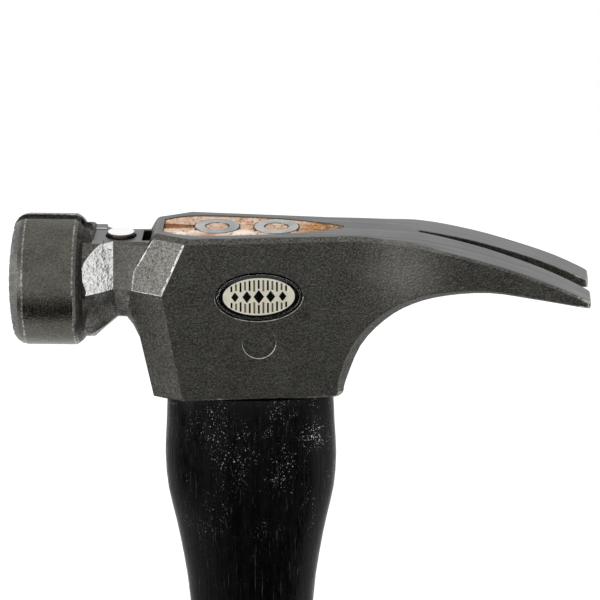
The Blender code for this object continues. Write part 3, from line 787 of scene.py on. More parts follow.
@dataclass
class HammerHead:
    """The cast head with its edges broken and each face finished as it was left, some faces with painted
    light or shade in their colour.
    """

    edge_break: float = 0.25
    bevel_from: float = 22.0
    tooth_plane: float = -63.0
    rim_plane: float = -63.9
    narrow_strip: float = 0.42
    margin: float = 0.5
    patch_at: Span = (-36.2, -10.6)
    patch_half: Span = (10.7, 10.7)
    mark_at: Span = (3.2, -31.3)
    mark_half: Span = (5.6, 5.6)
    badge_at: Span = (3.2, -17.5)
    badge_half: Span = (13.2, 7.9)
    rear_plane: float = -46.8
    flat_below: float = 8.0
    soft_below: float = 27.0
    hair_length: float = 20.0
    nose_facing: Colour = (-0.46, 0.85, 0.24)
    nose_area: float = 40.0
    nose_half_height: float = 5.5
    nose_end: float = -15.0
    claw_end: float = 94.0
    sole: float = -47.0
    rim_width: float = 1.6
    wear: HeadWear = HeadWear()

    def build(self, effects: Effects) -> Piece:
        """Builds and dresses the head.

        Args:
            effects: The shared effects.

        Returns:
            The head's piece.
        """
        mesh = mesh_copy("head")
        self.join_facets(mesh)
        self.round_patch(mesh)
        self.break_edges(mesh)
        wear = mesh.faces.layers.float.new("wear")
        self.wear_nose(mesh, wear)
        for face in mesh.faces:
            place = face_middle(face)
            zone = self.zone(place, face.normal)
            face.material_index = zone.value
            face[wear] = max(face[wear], self.rubbed(face, place, zone))
        crease(mesh, self.narrow_strip, 11.0, 50.0)
        self.soften_neck(mesh)
        piece = finish_piece("hammer_head", mesh, self.materials(effects), 0.0)
        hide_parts("head")
        return piece

    def join_facets(self, mesh: Mesh) -> None:
        """Joins the slivers of the neck and of the cheeks into the faces beside them.

        Args:
            mesh: The head's mesh.
        """
        for loose in (self.along_hair, self.across_flat):
            edges = [edge for edge in mesh.edges if loose(edge)]
            bmesh.ops.dissolve_edges(mesh, edges=edges, use_verts=False, use_face_split=False)

    def along_hair(self, edge: Edge) -> bool:
        """Tells whether an edge borders one of the hair-thin faces of the rear cheeks.

        Args:
            edge: The edge.

        Returns:
            True if it does.
        """
        if not 20.0 < edge_middle(edge).x < 26.0 or edge.calc_length() < self.hair_length * MM:
            return False
        return any(face_width(face) < HAIR_WIDTH for face in edge.link_faces)

    def across_flat(self, edge: Edge) -> bool:
        """Tells whether an edge crosses a chamfer or a cheek of the neck with hardly a corner.

        Args:
            edge: The edge.

        Returns:
            True if it does.
        """
        middle = edge_middle(edge)
        on_neck = -47.0 < middle.x < -29.0 and abs(middle.y) > 4.0
        if not (on_neck and edge.calc_face_angle(0.0) < math.radians(self.flat_below)):
            return False
        normals = [face.normal for face in edge.link_faces]
        chamfer = all(normal.x > 0.45 and normal.z > 0.0 for normal in normals)
        cheek = middle.x > -38.8 and all(abs(normal.y) > 0.9 and normal.z > 0.0 for normal in normals)
        return chamfer or cheek

    def round_patch(self, mesh: Mesh) -> None:
        """Cuts the collar's faces along the rounded border of the bright patch of painted reflection.

        Args:
            mesh: The head's mesh.
        """
        for degrees in range(112, 211, 14):
            turn = math.radians(degrees)
            outward = Vector((math.cos(turn), 0.0, math.sin(turn)))
            border = head_point(self.patch_at[0], 0.0, self.patch_at[1]) + outward * self.patch_half[0] * MM
            parts = with_corners([face for face in mesh.faces if self.may_be_cut(face)])
            bmesh.ops.bisect_plane(mesh, geom=parts, plane_co=border, plane_no=outward)

    def may_be_cut(self, face: Face) -> bool:
        """Tells whether the rounded border of the painted reflection patch may cross a face."""
        place = face_middle(face)
        return self.on_shoulder(place, face.normal) or self.zone(place, face.normal) is HeadZone.COLLAR

    def on_shoulder(self, place: Vector, normal: Vector) -> bool:
        """Tells whether a face is on the collar's shoulder, at the foot of the painted reflection patch."""
        faces_back = normal.x > 0.7 and abs(normal.y) > 0.45
        return faces_back and -48.0 < place.x < -45.5 and -17.0 < place.z < -8.0

    def nose_direction(self, side: float) -> Vector:
        """Returns the way the nose's upper facet faces, on the cheek that a sign stands for."""
        along, out, up = self.nose_facing
        return Vector((along, math.copysign(out, side), up))

    def wear_nose(self, mesh: Mesh, wear: Layer) -> None:
        """Leaves a rubbed margin round the nose's two upper facets.

        Args:
            mesh: The head's mesh.
            wear: The value on each face to set.
        """
        for side in (-1.0, 1.0):
            facing = self.nose_direction(side)
            least = self.nose_area * MM * MM
            facing_so = [face for face in mesh.faces if face.normal.dot(facing) > 0.99]
            for facet in [face for face in facing_so if face.calc_area() > least]:
                middle = face_middle(facet)
                made = bmesh.ops.inset_individual(
                    mesh, faces=[facet], thickness=self.margin * MM, use_even_offset=True,
                )
                for face in made["faces"]:
                    place = face_middle(face)
                    low = place.z < middle.z - self.nose_half_height
                    high = place.z > middle.z + self.nose_half_height
                    face[wear] = 0.0 if high else self.wear.nose_foot if low else self.wear.nose_margin

    def break_edges(self, mesh: Mesh) -> None:
        """Breaks the crisp edges into narrow rounded strips.

        Args:
            mesh: The head's mesh.
        """
        crisp = [edge for edge in mesh.edges if self.is_crisp(edge)]
        bmesh.ops.bevel(
            mesh, geom=crisp, offset=self.edge_break * MM, segments=2, profile=0.5,
            affect="EDGES", clamp_overlap=False,
        )

    def is_crisp(self, edge: Edge) -> bool:
        """Tells whether an edge is an outward corner away from the teeth.

        Args:
            edge: The edge.

        Returns:
            True if it is.
        """
        if len(edge.link_faces) != 2 or not edge.is_convex:
            return False
        middle = edge_middle(edge)
        if abs(middle.x - self.rim_plane) < 0.1:
            return True
        if middle.x < self.tooth_plane:
            return False
        return edge.calc_face_angle() > math.radians(self.bevel_from)

    def soften_neck(self, mesh: Mesh) -> None:
        """Lets the rough neck's cheeks shade as soft rounds.

        Args:
            mesh: The head's mesh.
        """
        for edge in mesh.edges:
            middle = edge_middle(edge)
            on_neck = -38.6 < middle.x < -34.0 and -25.0 < middle.z < -18.0 and abs(middle.y) > 5.0
            if on_neck and edge.calc_face_angle(0.0) < math.radians(self.soft_below):
                edge.smooth = True

    def is_strip(self, face: Face) -> bool:
        """Tells whether a face is one of the narrow strips along an outward corner.

        Args:
            face: The face.

        Returns:
            True if it is.
        """
        if face_width(face) > self.narrow_strip:
            return False
        reach = 0.6 * max(edge.calc_length() for edge in face.edges)
        long_edges = [edge for edge in face.edges if edge.calc_length() > reach]
        return all(edge.is_convex or edge.calc_face_angle(0.0) < math.radians(2.0) for edge in long_edges)

    def zone(self, place: Vector, normal: Vector) -> HeadZone:
        """Tells how a face was left, or which painted light or shade it carries.

        Args:
            place: The face's middle, in millimetres from the head's top.
            normal: The face's direction.

        Returns:
            The zone.
        """
        if place.x < -64.0 and normal.x < -0.5:
            return HeadZone.TOOTH
        found = self.collar_zone(place, normal)
        if found is None and self.in_recess(place, normal):
            found = HeadZone.RECESS
        if found is None and place.x < self.rear_plane:
            found = HeadZone.POLL
        return found or self.top_zone(place, normal) or self.cheek_zone(place, normal)

    def collar_zone(self, place: Vector, normal: Vector) -> HeadZone | None:
        """Tells how a face of the collar was left, or which painted reflection or shade it carries.

        Args:
            place: The face's middle, in millimetres from the head's top.
            normal: The face's direction.

        Returns:
            The zone, or None off the collar.
        """
        in_patch = near(place, self.patch_at, self.patch_half)
        if self.on_shoulder(place, normal):
            return HeadZone.BARE if in_patch else HeadZone.RECESS
        if -42.0 < place.x < -41.0 and normal.x > 0.85 and place.z > -5.0:
            return HeadZone.BARE if abs(place.y) > 8.2 else HeadZone.SHELF
        faces_out = abs(normal.y) > 0.4 and 0.0 < normal.z < 0.82
        if not (faces_out and -46.75 < place.x < -38.4 and -16.9 < place.z < -2.9):
            return None
        if normal.x > 0.3:
            return HeadZone.BARE
        return HeadZone.COLLAR if in_patch and normal.z > 0.3 else HeadZone.CAST

    def in_recess(self, place: Vector, normal: Vector) -> bool:
        """Tells whether a face is in the groove, behind the poll or in the shelf's notch, where its colour
        is darkened as painted shade.

        Args:
            place: The face's middle, in millimetres from the head's top.
            normal: The face's direction.

        Returns:
            True if it is.
        """
        side = abs(place.y)
        in_groove = place.x < -44.6 and side < 2.15 and place.z > -3.0 and abs(normal.x) < 0.9
        on_rear = place.x < self.rear_plane and normal.x > 0.5
        behind_poll = -48.6 < place.x < -44.6 and (place.z > -3.4 or on_rear)
        in_notch = -30.8 < place.x < -27.9 and side < 4.8 and -6.5 < place.z < -3.3
        return in_groove or behind_poll or in_notch

    def top_zone(self, place: Vector, normal: Vector) -> HeadZone | None:
        """Tells how a face of the head's top was left.

        Args:
            place: The face's middle, in millimetres from the head's top.
            normal: The face's direction.

        Returns:
            The zone, or None off the top.
        """
        if normal.z > 0.9 and -46.0 < place.x < -24.0 and -4.2 < place.z < -2.2:
            return HeadZone.SHELF
        round_eye = normal.z > 0.85 and -28.0 < place.x < 48.0 and place.z > -6.0
        on_claws = normal.z > 0.8 and place.x > 38.0
        return HeadZone.GROUND if round_eye or on_claws else None

    def cheek_zone(self, place: Vector, normal: Vector) -> HeadZone:
        """Tells how a face of the cheeks, the neck or the underside was left, or which painted light it
        carries.

        Args:
            place: The face's middle, in millimetres from the head's top.
            normal: The face's direction.

        Returns:
            The zone.
        """
        if place.x < -18.0 and normal.dot(self.nose_direction(place.y)) > 0.98:
            return HeadZone.NOSE
        if -38.7 < place.x < -30.0 and -17.5 < place.z < -2.9 and abs(normal.y) > 0.9:
            return HeadZone.NECK
        # the neck's underside: dark scale whose lighter mottle is painted reflection
        if -45.6 < place.x < -34.0 and normal.z < -0.15 and abs(place.y) > 2.0 and place.z < -17.0:
            return HeadZone.SCALE
        on_hem = place.x > 10.0 and normal.z < -0.08 and 0.4 < abs(normal.y) < 0.85
        return HeadZone.HEM if on_hem else HeadZone.CAST

    def rubbed(self, face: Face, place: Vector, zone: HeadZone) -> float:
        """Tells how far a face is rubbed bright.

        Args:
            face: The face.
            place: Its middle, in millimetres from the head's top.
            zone: How the face was left.

        Returns:
            From 0, untouched, to 1, bare metal.
        """
        if zone is HeadZone.TOOTH:
            return self.wear.tooth_tops if face.normal.x < -0.95 else 0.0
        if not self.is_strip(face):
            return self.rubbed_band(face, place, zone)
        if zone is HeadZone.POLL:
            return self.wear.poll_rims
        # the lower rims of the weight mark and the badge: wear with painted highlight
        if near(place, self.mark_at, self.mark_half):
            return self.wear.mark_foot_wear_and_highlight if place.z < self.mark_at[1] - 1.0 else self.wear.mark_top
        if near(place, self.badge_at, self.badge_half) and place.y < 0.0:
            return self.wear.badge_foot_wear_and_highlight if place.z < self.badge_at[1] else self.wear.badge_top
        if place.x > self.nose_end and abs(face.normal.y) > 0.97:
            return 0.0
        if place.x < self.nose_end:
            upper_nose = -17.5 < place.z < -4.5 and abs(place.y) > 8.0 and place.x > -35.5
            return self.wear.nose_edges if upper_nose else self.wear.neck_edges
        if place.x > self.claw_end:
            return self.wear.claw_tips
        return self.wear.sole_edges if place.z < self.sole else self.wear.other_edges

    def rubbed_band(self, face: Face, place: Vector, zone: HeadZone) -> float:
        """Tells how far a face is rubbed that is wider than a broken edge.

        Args:
            face: The face.
            place: Its middle, in millimetres from the head's top.
            zone: How the face was left.

        Returns:
            From 0, untouched, to 1, bare metal.
        """
        on_top = face.normal.z > 0.5 and place.z > -4.0 and place.x > -22.0
        if on_top and face_width(face) < self.rim_width:
            return self.wear.claw_rim if 27.0 < place.x < 50.0 else self.wear.top_rim
        on_chamfer = zone is HeadZone.POLL and place.x < self.rim_plane
        return self.wear.face_chamfer if on_chamfer else 0.0

    def materials(self, effects: Effects) -> list[Material]:
        """Makes the head's materials.

        Args:
            effects: The shared effects.

        Returns:
            The materials, in the order of the zones.
        """
        # the nose's tone, lighter than the cheek's, is painted light on facets that tilt up towards the
        # lamps
        rubbed = CastSteel(
            "rubbed_nose_painted_light", (0.073, 0.071, 0.063), (0.098, 0.096, 0.087),
            grain=1900.0, relief=0.0002, fleck=0.22,
        )
        # painted reflection: a near-white colour on the collar's facet and rounded top, standing for the
        # right lamp mirrored in them
        bare = CastSteel(
            "painted_reflection_facet", (0.36, 0.36, 0.36), (0.84, 0.84, 0.83), (0.97, 0.97, 0.96),
            grain=900.0, relief=0.0005, fleck=0.62, roughness=0.25,
        )
        finishes = {
            # the cheek's sheen is a painted highlight on the claw side
            HeadZone.CAST: replace(
                rubbed, name="cast_cheek", dark=(0.05, 0.0485, 0.042), light=(0.068, 0.066, 0.058),
                bare=(0.45, 0.44, 0.4), sheen=0.36, sheen_at=(0.045, 0.0, 0.4475),
            ),
            HeadZone.GROUND: GroundSteel("ground_steel", (0.115, 0.115, 0.116), (0.225, 0.225, 0.227)),
            HeadZone.SHELF: GroundSteel("ground_shelf", (0.15, 0.152, 0.156), (0.21, 0.212, 0.214)),
            HeadZone.POLL: CastSteel(
                "cast_poll", (0.062, 0.06, 0.048), (0.084, 0.082, 0.067),
                grain=2300.0, roughness=0.28, patch=1500.0,
            ),
            HeadZone.TOOTH: CastSteel(
                "milled_teeth", (0.1, 0.096, 0.09), (0.16, 0.155, 0.148), (0.55, 0.54, 0.52),
            ),
            HeadZone.BARE: bare,
            # painted shade: a near-black tone for the groove, the shoulder behind the poll and the shelf's
            # notch
            HeadZone.RECESS: CastSteel(
                "painted_shade_recess", (0.022, 0.021, 0.019), (0.04, 0.038, 0.035),
                grain=900.0, relief=0.0006, fleck=0.05,
            ),
            HeadZone.COLLAR: replace(bare, name="painted_reflection_collar"),
            HeadZone.HEM: CastSteel("cast_hem", (0.05, 0.049, 0.043), (0.066, 0.064, 0.057)),
            # dark scale on the neck's underside; the light tone of its mottle is painted reflection
            HeadZone.SCALE: CastSteel(
                "scale_and_painted_reflection", (0.045, 0.043, 0.039), (0.21, 0.204, 0.188),
                grain=2600.0, relief=0.0003, fleck=0.06, roughness=0.2,
            ),
            HeadZone.NOSE: rubbed,
            # the neck's cheeks are lighter still: painted light on facets tilted up
            HeadZone.NECK: replace(
                rubbed, name="rubbed_neck_painted_light", dark=(0.092, 0.09, 0.08), light=(0.124, 0.121, 0.11),
            ),
        }
        return [finishes[zone].make(effects) for zone in HeadZone]


@dataclass
class Handle:
    """The lacquered hickory handle with its bare tenon end in the eye."""

    tenon_from: float = -49.0
    cell: float = 0.55
    tear: float = 0.35
    tear_grain: float = 420.0
    swell: float = 0.18
    ring_centres: tuple[float, ...] = (-9.2, 7.8)
    ring_radius: float = 6.5
    ring_gap: float = 0.4
    ring_gap_half: float = 3.4
    ring_split: float = 0.95
    edge_split: float = 0.5
    tip_from: float = 16.0
    tip_length: float = 5.0

    def build(self, effects: Effects) -> Piece:
        """Builds and dresses the handle.

        Args:
            effects: The shared effects.

        Returns:
            The handle's piece.
        """
        mesh = mesh_copy("handle")
        crack = mesh.verts.layers.float.new("crack")
        self.tear_end(self.cut_cells(mesh), crack)
        for face in mesh.faces:
            place = face_middle(face)
            in_kerf = place.z > -20.0 and place.x < -8.0 and abs(place.y) < 2.0 and abs(face.normal.y) > 0.7
            face.material_index = 2 if in_kerf else 1 if place.z > self.tenon_from else 0
        piece = finish_piece("handle_wood", mesh, self.materials(effects), 40.0)
        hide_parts("handle")
        return piece

    def materials(self, effects: Effects) -> list[Material]:
        """Makes the handle's materials.

        Args:
            effects: The shared effects.

        Returns:
            The lacquer, the sawn end's wood and the kerf's wood.
        """
        lacquer = BlackLacquer(
            "black_lacquer", black=(0.0012, 0.0012, 0.0013), sheen=(0.0028, 0.0028, 0.003),
            rubbed=(0.03, 0.03, 0.031), glint=(0.95, 0.95, 0.95),
        )
        sawn = EndGrain(
            "end_grain", tan=(0.62, 0.42, 0.3), orange=(0.48, 0.23, 0.11), dark=(0.05, 0.024, 0.012),
            pale=(0.8, 0.64, 0.52), crumbled=0.0118,
            pale_spots=((-0.0098, -0.0056, 0.0), (-0.0009, -0.0052, 0.0)),
        )
        kerf = EndGrain(
            "kerf_wood", tan=(0.5, 0.2, 0.07), orange=(0.36, 0.13, 0.045), dark=(0.08, 0.03, 0.012),
            pale=(0.66, 0.36, 0.17),
        )
        return [finish.make(effects) for finish in (lacquer, sawn, kerf)]

    def sawn_end(self, mesh: Mesh) -> list[Face]:
        """Returns the faces of the tenon's sawn end."""
        return [face for face in mesh.faces if face.normal.z > 0.9 and face_middle(face).z > -3.0]

    def cut_cells(self, mesh: Mesh) -> list[Face]:
        """Cuts the sawn end into small cells.

        Args:
            mesh: The handle's mesh.

        Returns:
            The cells.
        """
        top = self.sawn_end(mesh)
        for axis, normal in enumerate((Vector((1.0, 0.0, 0.0)), Vector((0.0, 1.0, 0.0)))):
            low = min(vert.co[axis] for face in top for vert in face.verts)
            high = max(vert.co[axis] for face in top for vert in face.verts)
            steps = int((high - low) / (self.cell * MM))
            for step in range(1, steps):
                place = normal * (low + (high - low) * step / steps)
                bmesh.ops.bisect_plane(mesh, geom=with_corners(top), plane_co=place, plane_no=normal)
                top = self.sawn_end(mesh)
        return top

    def tear_end(self, cells: list[Face], crack: Layer) -> None:
        """Tears the sawn end downwards and swells it against the eye and the wedges.

        Args:
            cells: The sawn end's faces.
            crack: Value on each corner, 1 where the wood is split and dark.
        """
        whole = set(cells)
        for vert in {vert for face in cells for vert in face.verts}:
            beyond = [face for face in vert.link_faces if face not in whole]
            torn = noise.fractal(vert.co * self.tear_grain, 0.9, 2.1, 3)
            if beyond:
                walls = [face.normal for face in beyond if abs(face.normal.z) < 0.3]
                vert.co += sum(walls, Vector()).normalized() * self.swell * MM
            else:
                vert.co.z -= self.tear * MM * min(max(0.4 + torn, 0.0), 1.4)
            place = head_axes(vert.co)
            tip = min(max((place.x - self.tip_from) / self.tip_length, 0.0), 1.0)
            split = self.ring_split if self.beside_ring(place) else self.edge_split if beyond else 0.0
            vert[crack] = max(split, tip * min(max(0.42 + 0.5 * torn, 0.0), 0.7))

    def beside_ring(self, place: Vector) -> bool:
        """Tells whether a place is in the split wood at the front or rear of a ring wedge."""
        gaps = [abs(math.hypot(place.x - x, place.y) - self.ring_radius) for x in self.ring_centres]
        return abs(place.y) < self.ring_gap_half and min(gaps) < self.ring_gap


@dataclass
class EyeWedges:
    """The two ring wedges and the wooden wedge in the kerf."""

    edge_break: float = 0.25

    def build(self, effects: Effects) -> list[Piece]:
        """Builds and dresses the wedges.

        Args:
            effects: The shared effects.

        Returns:
            The pieces.
        """
        steel = PlainSteel("wedge_steel", (0.28, 0.3, 0.295), (0.52, 0.52, 0.5), 0.36, 0.0001).make(effects)
        wood = EndGrain(
            "wedge_wood", tan=(0.6, 0.38, 0.26), orange=(0.52, 0.27, 0.14), dark=(0.06, 0.03, 0.015),
            pale=(0.72, 0.54, 0.42), crumbled=0.0118,
        ).make(effects)
        pieces = []
        for node in ("ring_wedge_front", "ring_wedge_rear", "kerf_wedge"):
            mesh = broken_copy(node, self.edge_break, 2)
            is_wood = node == "kerf_wedge"
            piece = finish_piece(node.replace("wedge", "wedge_piece"), mesh, [wood if is_wood else steel])
            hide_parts(node)
            pieces.append(piece)
        return pieces


@dataclass
class NailStarter:
    """The plated disc magnet standing on the neck."""

    edge_break: float = 0.15

    def build(self, effects: Effects) -> Piece:
        """Builds and dresses the magnet.

        Args:
            effects: The shared effects.

        Returns:
            The magnet's piece.
        """
        mesh = broken_copy("nail_magnet", self.edge_break, 3)
        # the disc's side is a darker copy of its plating: painted shade
        top = PlainSteel("nickel_face", (0.97, 0.965, 0.955), (0.93, 0.925, 0.91), 0.06, 0.000003)
        side = PlainSteel("nickel_side_painted_shade", (0.1, 0.09, 0.075), (0.05, 0.042, 0.033), 0.2, 0.00003)
        for face in mesh.faces:
            face.material_index = 0 if face.normal.z > 0.9 else 1
        piece = finish_piece("nail_magnet_disc", mesh, [top.make(effects), side.make(effects)])
        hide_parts("nail_magnet")
        return piece


@dataclass
class Badge:
    """The oval badge: a printed plate with a plain pattern under clear domed resin."""

    centre: Span = (3.2, -17.5)
    cheek: float = 12.05
    turn: float = 0.0971
    field_half: Span = (10.3, 5.6)
    face_at: float = 0.68
    dome_rim: float = 0.06
    dome_wall: float = 0.86
    around: int = 72
    ink: float = 0.012
    print_lift: float = 0.02
    lozenge_pitch: float = 3.4
    lozenge_half: Span = (0.72, 2.1)
    lozenge_shrink: float = 0.3
    bar_pitch: float = 1.3
    bar_half: float = 0.27
    bar_from: float = 1.5
    bar_to: float = 0.9
    bar_wave: float = 0.9
    bar_wave_end: float = 12.0
    bar_least: float = 0.8

    def build(self, effects: Effects) -> list[Piece]:
        """Builds and dresses the badge.

        Args:
            effects: The shared effects.

        Returns:
            The pieces.
        """
        black = PrintInk("badge_black", (0.002, 0.002, 0.002), (0.004, 0.004, 0.004)).make(effects)
        ivory = PrintInk("badge_ivory", (0.9, 0.86, 0.7), (0.95, 0.91, 0.76)).make(effects)
        olive = PrintInk("badge_olive", (0.14, 0.12, 0.06), (0.18, 0.155, 0.085)).make(effects)
        plate = finish_piece("badge_border", mesh_copy("badge_plate"), [black])
        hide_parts("badge_plate")
        field_piece = finish_piece("badge_field", self.field_mesh(), [ivory])
        motif = finish_piece("badge_pattern", self.pattern(), [black, olive])
        dome = finish_piece("badge_resin", self.dome_mesh(), [ClearResin("clear_resin").make()], 50.0)
        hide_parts("badge_dome")
        return [plate, field_piece, motif, dome]

    def seat(self) -> Matrix:
        """Returns the badge's own axes: x along, z up, and -y out of the cheek."""
        place = head_point(self.centre[0], -self.cheek, self.centre[1])
        return Matrix.Translation(place) @ Matrix.Rotation(math.atan(self.turn), 4, "Z")

    def turns(self) -> list[float]:
        """Returns the angles of the points round an oval, in radians."""
        return [2.0 * math.pi * step / self.around for step in range(self.around)]

    def dome_mesh(self) -> Mesh:
        """Builds a low dome with a rounded rim, as large as the CAD's dome.

        Returns:
            The closed dome.
        """
        seat = self.seat()
        points = [seat.inverted() @ vert.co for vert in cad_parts["badge_dome"].data.vertices]
        half_x = max(point.x for point in points)
        half_z = max(point.z for point in points)
        back = max(point.y for point in points)
        rise = back - min(point.y for point in points)
        mesh = bmesh.new()
        rings = []
        for share, lift in self.dome_profile():
            level = back - rise * lift
            wide, tall = half_x * share, half_z * share
            places = [Vector((wide * math.cos(turn), level, tall * math.sin(turn))) for turn in self.turns()]
            rings.append([mesh.verts.new(seat @ place) for place in places])
        mesh.faces.new(rings[0])
        mesh.faces.new(rings[-1])
        for lower, upper in zip(rings, rings[1:]):
            for step in range(self.around):
                after = (step + 1) % self.around
                mesh.faces.new((lower[step], lower[after], upper[after], upper[step]))
        bmesh.ops.recalc_face_normals(mesh, faces=mesh.faces)
        return mesh

    def dome_profile(self) -> list[Span]:
        """Lists the dome's rings, from its foot to its crown.

        Returns:
            Each ring's share of the dome's half size and of its rise.
        """
        turns = [math.radians(15.0 * step) for step in range(7)]
        shares = [1.0 - self.dome_rim * (1.0 - math.cos(turn)) for turn in turns]
        rim = [(share, self.dome_wall * math.sin(turn)) for share, turn in zip(shares, turns)]
        sag = 1.0 - self.dome_wall
        return rim + [(share, 1.0 - sag * share * share) for share in (0.8, 0.6, 0.4, 0.2, 0.02)]

    def slab(self, mesh: Mesh, outline: list[Span], lift: float, slot: int) -> None:
        """Adds one thin closed slab of ink.

        Args:
            mesh: The mesh to add to.
            outline: Its corners, in millimetres from the badge's middle.
            lift: How far its front stands before the plate, in millimetres.
            slot: Its material slot.
        """
        seat = self.seat()
        rings = []
        for depth in (self.face_at - lift, self.face_at + self.ink - lift):
            rings.append([mesh.verts.new(seat @ Vector((x * MM, depth * MM, z * MM))) for x, z in outline])
        front, back = rings
        faces = [mesh.faces.new(front), mesh.faces.new(list(reversed(back)))]
        for index in range(len(outline)):
            after = (index + 1) % len(outline)
            faces.append(mesh.faces.new((front[index], back[index], back[after], front[after])))
        for face in faces:
            face.material_index = slot

    def field_mesh(self) -> Mesh:
        """Builds the ivory field.

        Returns:
            The closed slab.
        """
        mesh = bmesh.new()
        half_x, half_z = self.field_half
        outline = [(half_x * math.cos(turn), half_z * math.sin(turn)) for turn in self.turns()]
        self.slab(mesh, outline, 0.0, 0)
        bmesh.ops.recalc_face_normals(mesh, faces=mesh.faces)
        return mesh

    def pattern(self) -> Mesh:
        """Builds a plain pattern of lozenges between two rows of bars.

        Returns:
            The closed slabs, in two inks.
        """
        mesh = bmesh.new()
        for step in range(-2, 3):
            tall = self.lozenge_half[1] - self.lozenge_shrink * abs(step)
            wide = self.lozenge_half[0] * tall
            x = step * self.lozenge_pitch
            self.slab(mesh, [(x - wide, 0.0), (x, -tall), (x + wide, 0.0), (x, tall)], self.print_lift, 0)
        for side in (-1, 1):
            for step in range(-6, 7):
                self.bar(mesh, step, side)
        bmesh.ops.recalc_face_normals(mesh, faces=mesh.faces)
        return mesh

    def bar(self, mesh: Mesh, step: int, side: int) -> None:
        """Adds one bar of the pattern, unless too little of it is left.

        Args:
            mesh: The mesh to add to.
            step: Its number, counted from the badge's middle.
            side: 1 above the lozenges and -1 below them.
        """
        x = step * self.bar_pitch
        height = math.sqrt(max(0.0, 1.0 - (x / self.field_half[0]) ** 2))
        outer = self.bar_to * self.field_half[1] * height
        wave = math.cos(x * math.pi / self.lozenge_pitch) ** 2 * (1.0 - abs(x) / self.bar_wave_end)
        inner = self.bar_from + self.bar_wave * wave
        if outer - inner > self.bar_least:
            left, right = x - self.bar_half, x + self.bar_half
            low, high = side * inner, side * outer
            corners = [(left, low), (right, low), (right, high), (left, high)]
            self.slab(mesh, corners, self.print_lift, step % 2)


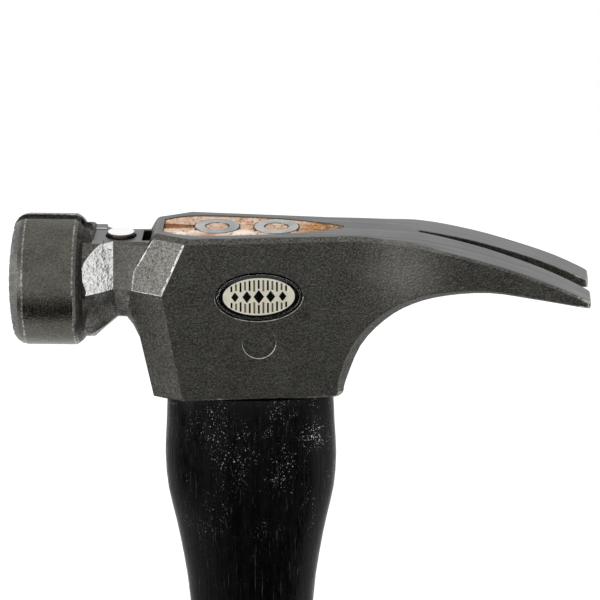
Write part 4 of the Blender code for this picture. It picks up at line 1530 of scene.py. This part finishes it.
@dataclass
class Studio:
    """White floor, soft lamps, two dark flags low before the hammer, and the camera."""

    eye: Colour = (0.04713, -0.92265, 0.75897)
    aim: Colour = (0.01459, -0.00212, 0.43529)
    roll: float = -0.11
    lens: float = 203.25
    floor_radius: float = 1.6
    floor_glow: float = 0.62
    floor_in_gloss: float = 0.3
    ambient: float = 0.45

    def build(self) -> None:
        """Builds the floor, world, lamps, flags and camera."""
        self.world()
        self.floor()
        self.flag("front_flag", (
            (-0.3, -0.27, 0.004), (0.6, -0.27, 0.004), (0.6, -0.75, 0.27), (-0.13, -0.75, 0.27),
        ))
        self.flag("left_flag", (
            (-0.72, -0.12, 0.004), (-0.36, -0.62, 0.004), (-0.44, -0.74, 0.24), (-0.86, -0.18, 0.24),
        ))
        self.lamp("left_lamp", (-1.0, -0.65, 0.54), (0.5, 0.9), 4.2)
        # this lamp is hidden from gloss; its reflection is painted into the collar's bright facet instead
        self.lamp("right_lamp", (1.2, -0.35, 0.36), (0.5, 0.7), 7.0, False)
        self.lamp("top_lamp", (-0.2, -0.5, 1.7), (0.9, 0.9), 12.0, False)
        self.camera()

    def white_to_eye(self, g: Graph) -> Socket:
        """Tells rays from the camera or off gloss and glass from the rest.

        Args:
            g: The graph to wire it in.

        Returns:
            1 for such rays and 0 for the rest.
        """
        path = g.add("ShaderNodeLightPath").outputs
        seen = g.math("MAXIMUM", path["Is Camera Ray"], path["Is Glossy Ray"])
        return g.math("MAXIMUM", seen, path["Is Transmission Ray"])

    def world(self) -> None:
        """Sets a white surround with a plain level of soft light."""
        world = bpy.data.worlds.new("studio_air")
        bpy.context.scene.world = world
        world.use_nodes = True
        g = Graph(world.node_tree)
        air = next(node for node in world.node_tree.nodes if node.type == "BACKGROUND")
        air.inputs["Color"].default_value = (1.0, 1.0, 1.0, 1.0)
        g.feed(air.inputs["Strength"], g.fit(self.white_to_eye(g), 0.0, 1.0, self.ambient, 1.0))

    def floor(self) -> None:
        """Lays the round white floor."""
        mesh = bmesh.new()
        bmesh.ops.create_circle(mesh, cap_ends=True, segments=96, radius=self.floor_radius)
        material, g, shader = new_material("floor_white")
        shade = g.noise(g.place(), 3.0, 2.0)
        g.feed(shader["Base Color"], g.mix(shade, (0.8, 0.8, 0.8), (0.82, 0.82, 0.82)))
        shader["Roughness"].default_value = 0.9
        shader["Emission Color"].default_value = (1.0, 1.0, 1.0, 1.0)
        path = g.add("ShaderNodeLightPath").outputs
        seen = g.math("MAXIMUM", path["Is Camera Ray"], path["Is Transmission Ray"])
        in_gloss = g.times(path["Is Glossy Ray"], self.floor_in_gloss)
        g.feed(shader["Emission Strength"], g.plus(g.times(seen, self.floor_glow), in_gloss))
        floor = new_object("floor", mesh, [material])

    def flag(self, name: str, corners: tuple[Colour, ...]) -> None:
        """Hangs a dark flag that only gloss sees.

        Args:
            name: Name of the flag.
            corners: Its corners, in metres.
        """
        mesh = bmesh.new()
        mesh.faces.new([mesh.verts.new(corner) for corner in corners])
        material, g, shader = new_material(name + "_cloth")
        shade = g.noise(g.place(), 5.0)
        g.feed(shader["Base Color"], g.mix(shade, (0.01, 0.01, 0.01), (0.014, 0.014, 0.014)))
        shader["Roughness"].default_value = 1.0
        shader["Specular IOR Level"].default_value = 0.0
        flag = new_object(name, mesh, [material])
        flag.visible_camera = False
        flag.visible_diffuse = False
        flag.visible_shadow = False

    def lamp(self, name: str, place: Colour, size: Span, power: float, mirrored: bool = True) -> None:
        """Hangs one soft lamp aimed at the head.

        Args:
            name: Name of the lamp.
            place: Its middle, in metres.
            size: Its width and height, in metres.
            power: Its power in watts.
            mirrored: Whether gloss sees it.
        """
        light = bpy.data.lights.new(name, "AREA")
        light.shape = "RECTANGLE"
        light.size, light.size_y = size
        light.energy = power
        lamp = bpy.data.objects.new(name, light)
        lamp.location = place
        lamp.rotation_euler = (Vector(place) - Vector(self.aim)).to_track_quat("Z", "Y").to_euler()
        lamp.visible_glossy = mirrored
        bpy.context.scene.collection.objects.link(lamp)

    def camera(self) -> None:
        """Places the camera where the photograph was taken."""
        data = bpy.data.cameras.new("camera")
        data.lens = self.lens
        data.sensor_width = 36.0
        data.clip_start = 0.01
        data.clip_end = 20.0
        camera = bpy.data.objects.new("camera", data)
        back = (Vector(self.eye) - Vector(self.aim)).normalized()
        right = Vector((0.0, 0.0, 1.0)).cross(back).normalized()
        up = back.cross(right)
        turn = math.radians(self.roll)
        across = math.cos(turn) * right + math.sin(turn) * up
        upright = math.cos(turn) * up - math.sin(turn) * right
        matrix = Matrix((across, upright, back)).transposed().to_4x4()
        camera.matrix_world = Matrix.Translation(Vector(self.eye)) @ matrix
        bpy.context.scene.collection.objects.link(camera)
        bpy.context.scene.camera = camera
        bpy.context.scene.view_settings.view_transform = "Standard"


def report(pieces: list[Piece]) -> None:
    """Logs each piece with its number of faces."""
    for piece in pieces:
        LOG.info("%s: %d faces", piece.name, len(piece.data.polygons))


def main() -> None:
    """Builds the hammer's sub-assemblies and the studio, and logs each piece's face count."""
    logging.basicConfig(level=logging.INFO, format="%(name)s: %(message)s")
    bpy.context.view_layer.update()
    effects = Effects.make()
    report([HammerHead().build(effects)])
    report([Handle().build(effects)])
    report(EyeWedges().build(effects))
    report([NailStarter().build(effects)])
    report(Badge().build(effects))
    Studio().build()


if __name__ == "__main__":
    main()
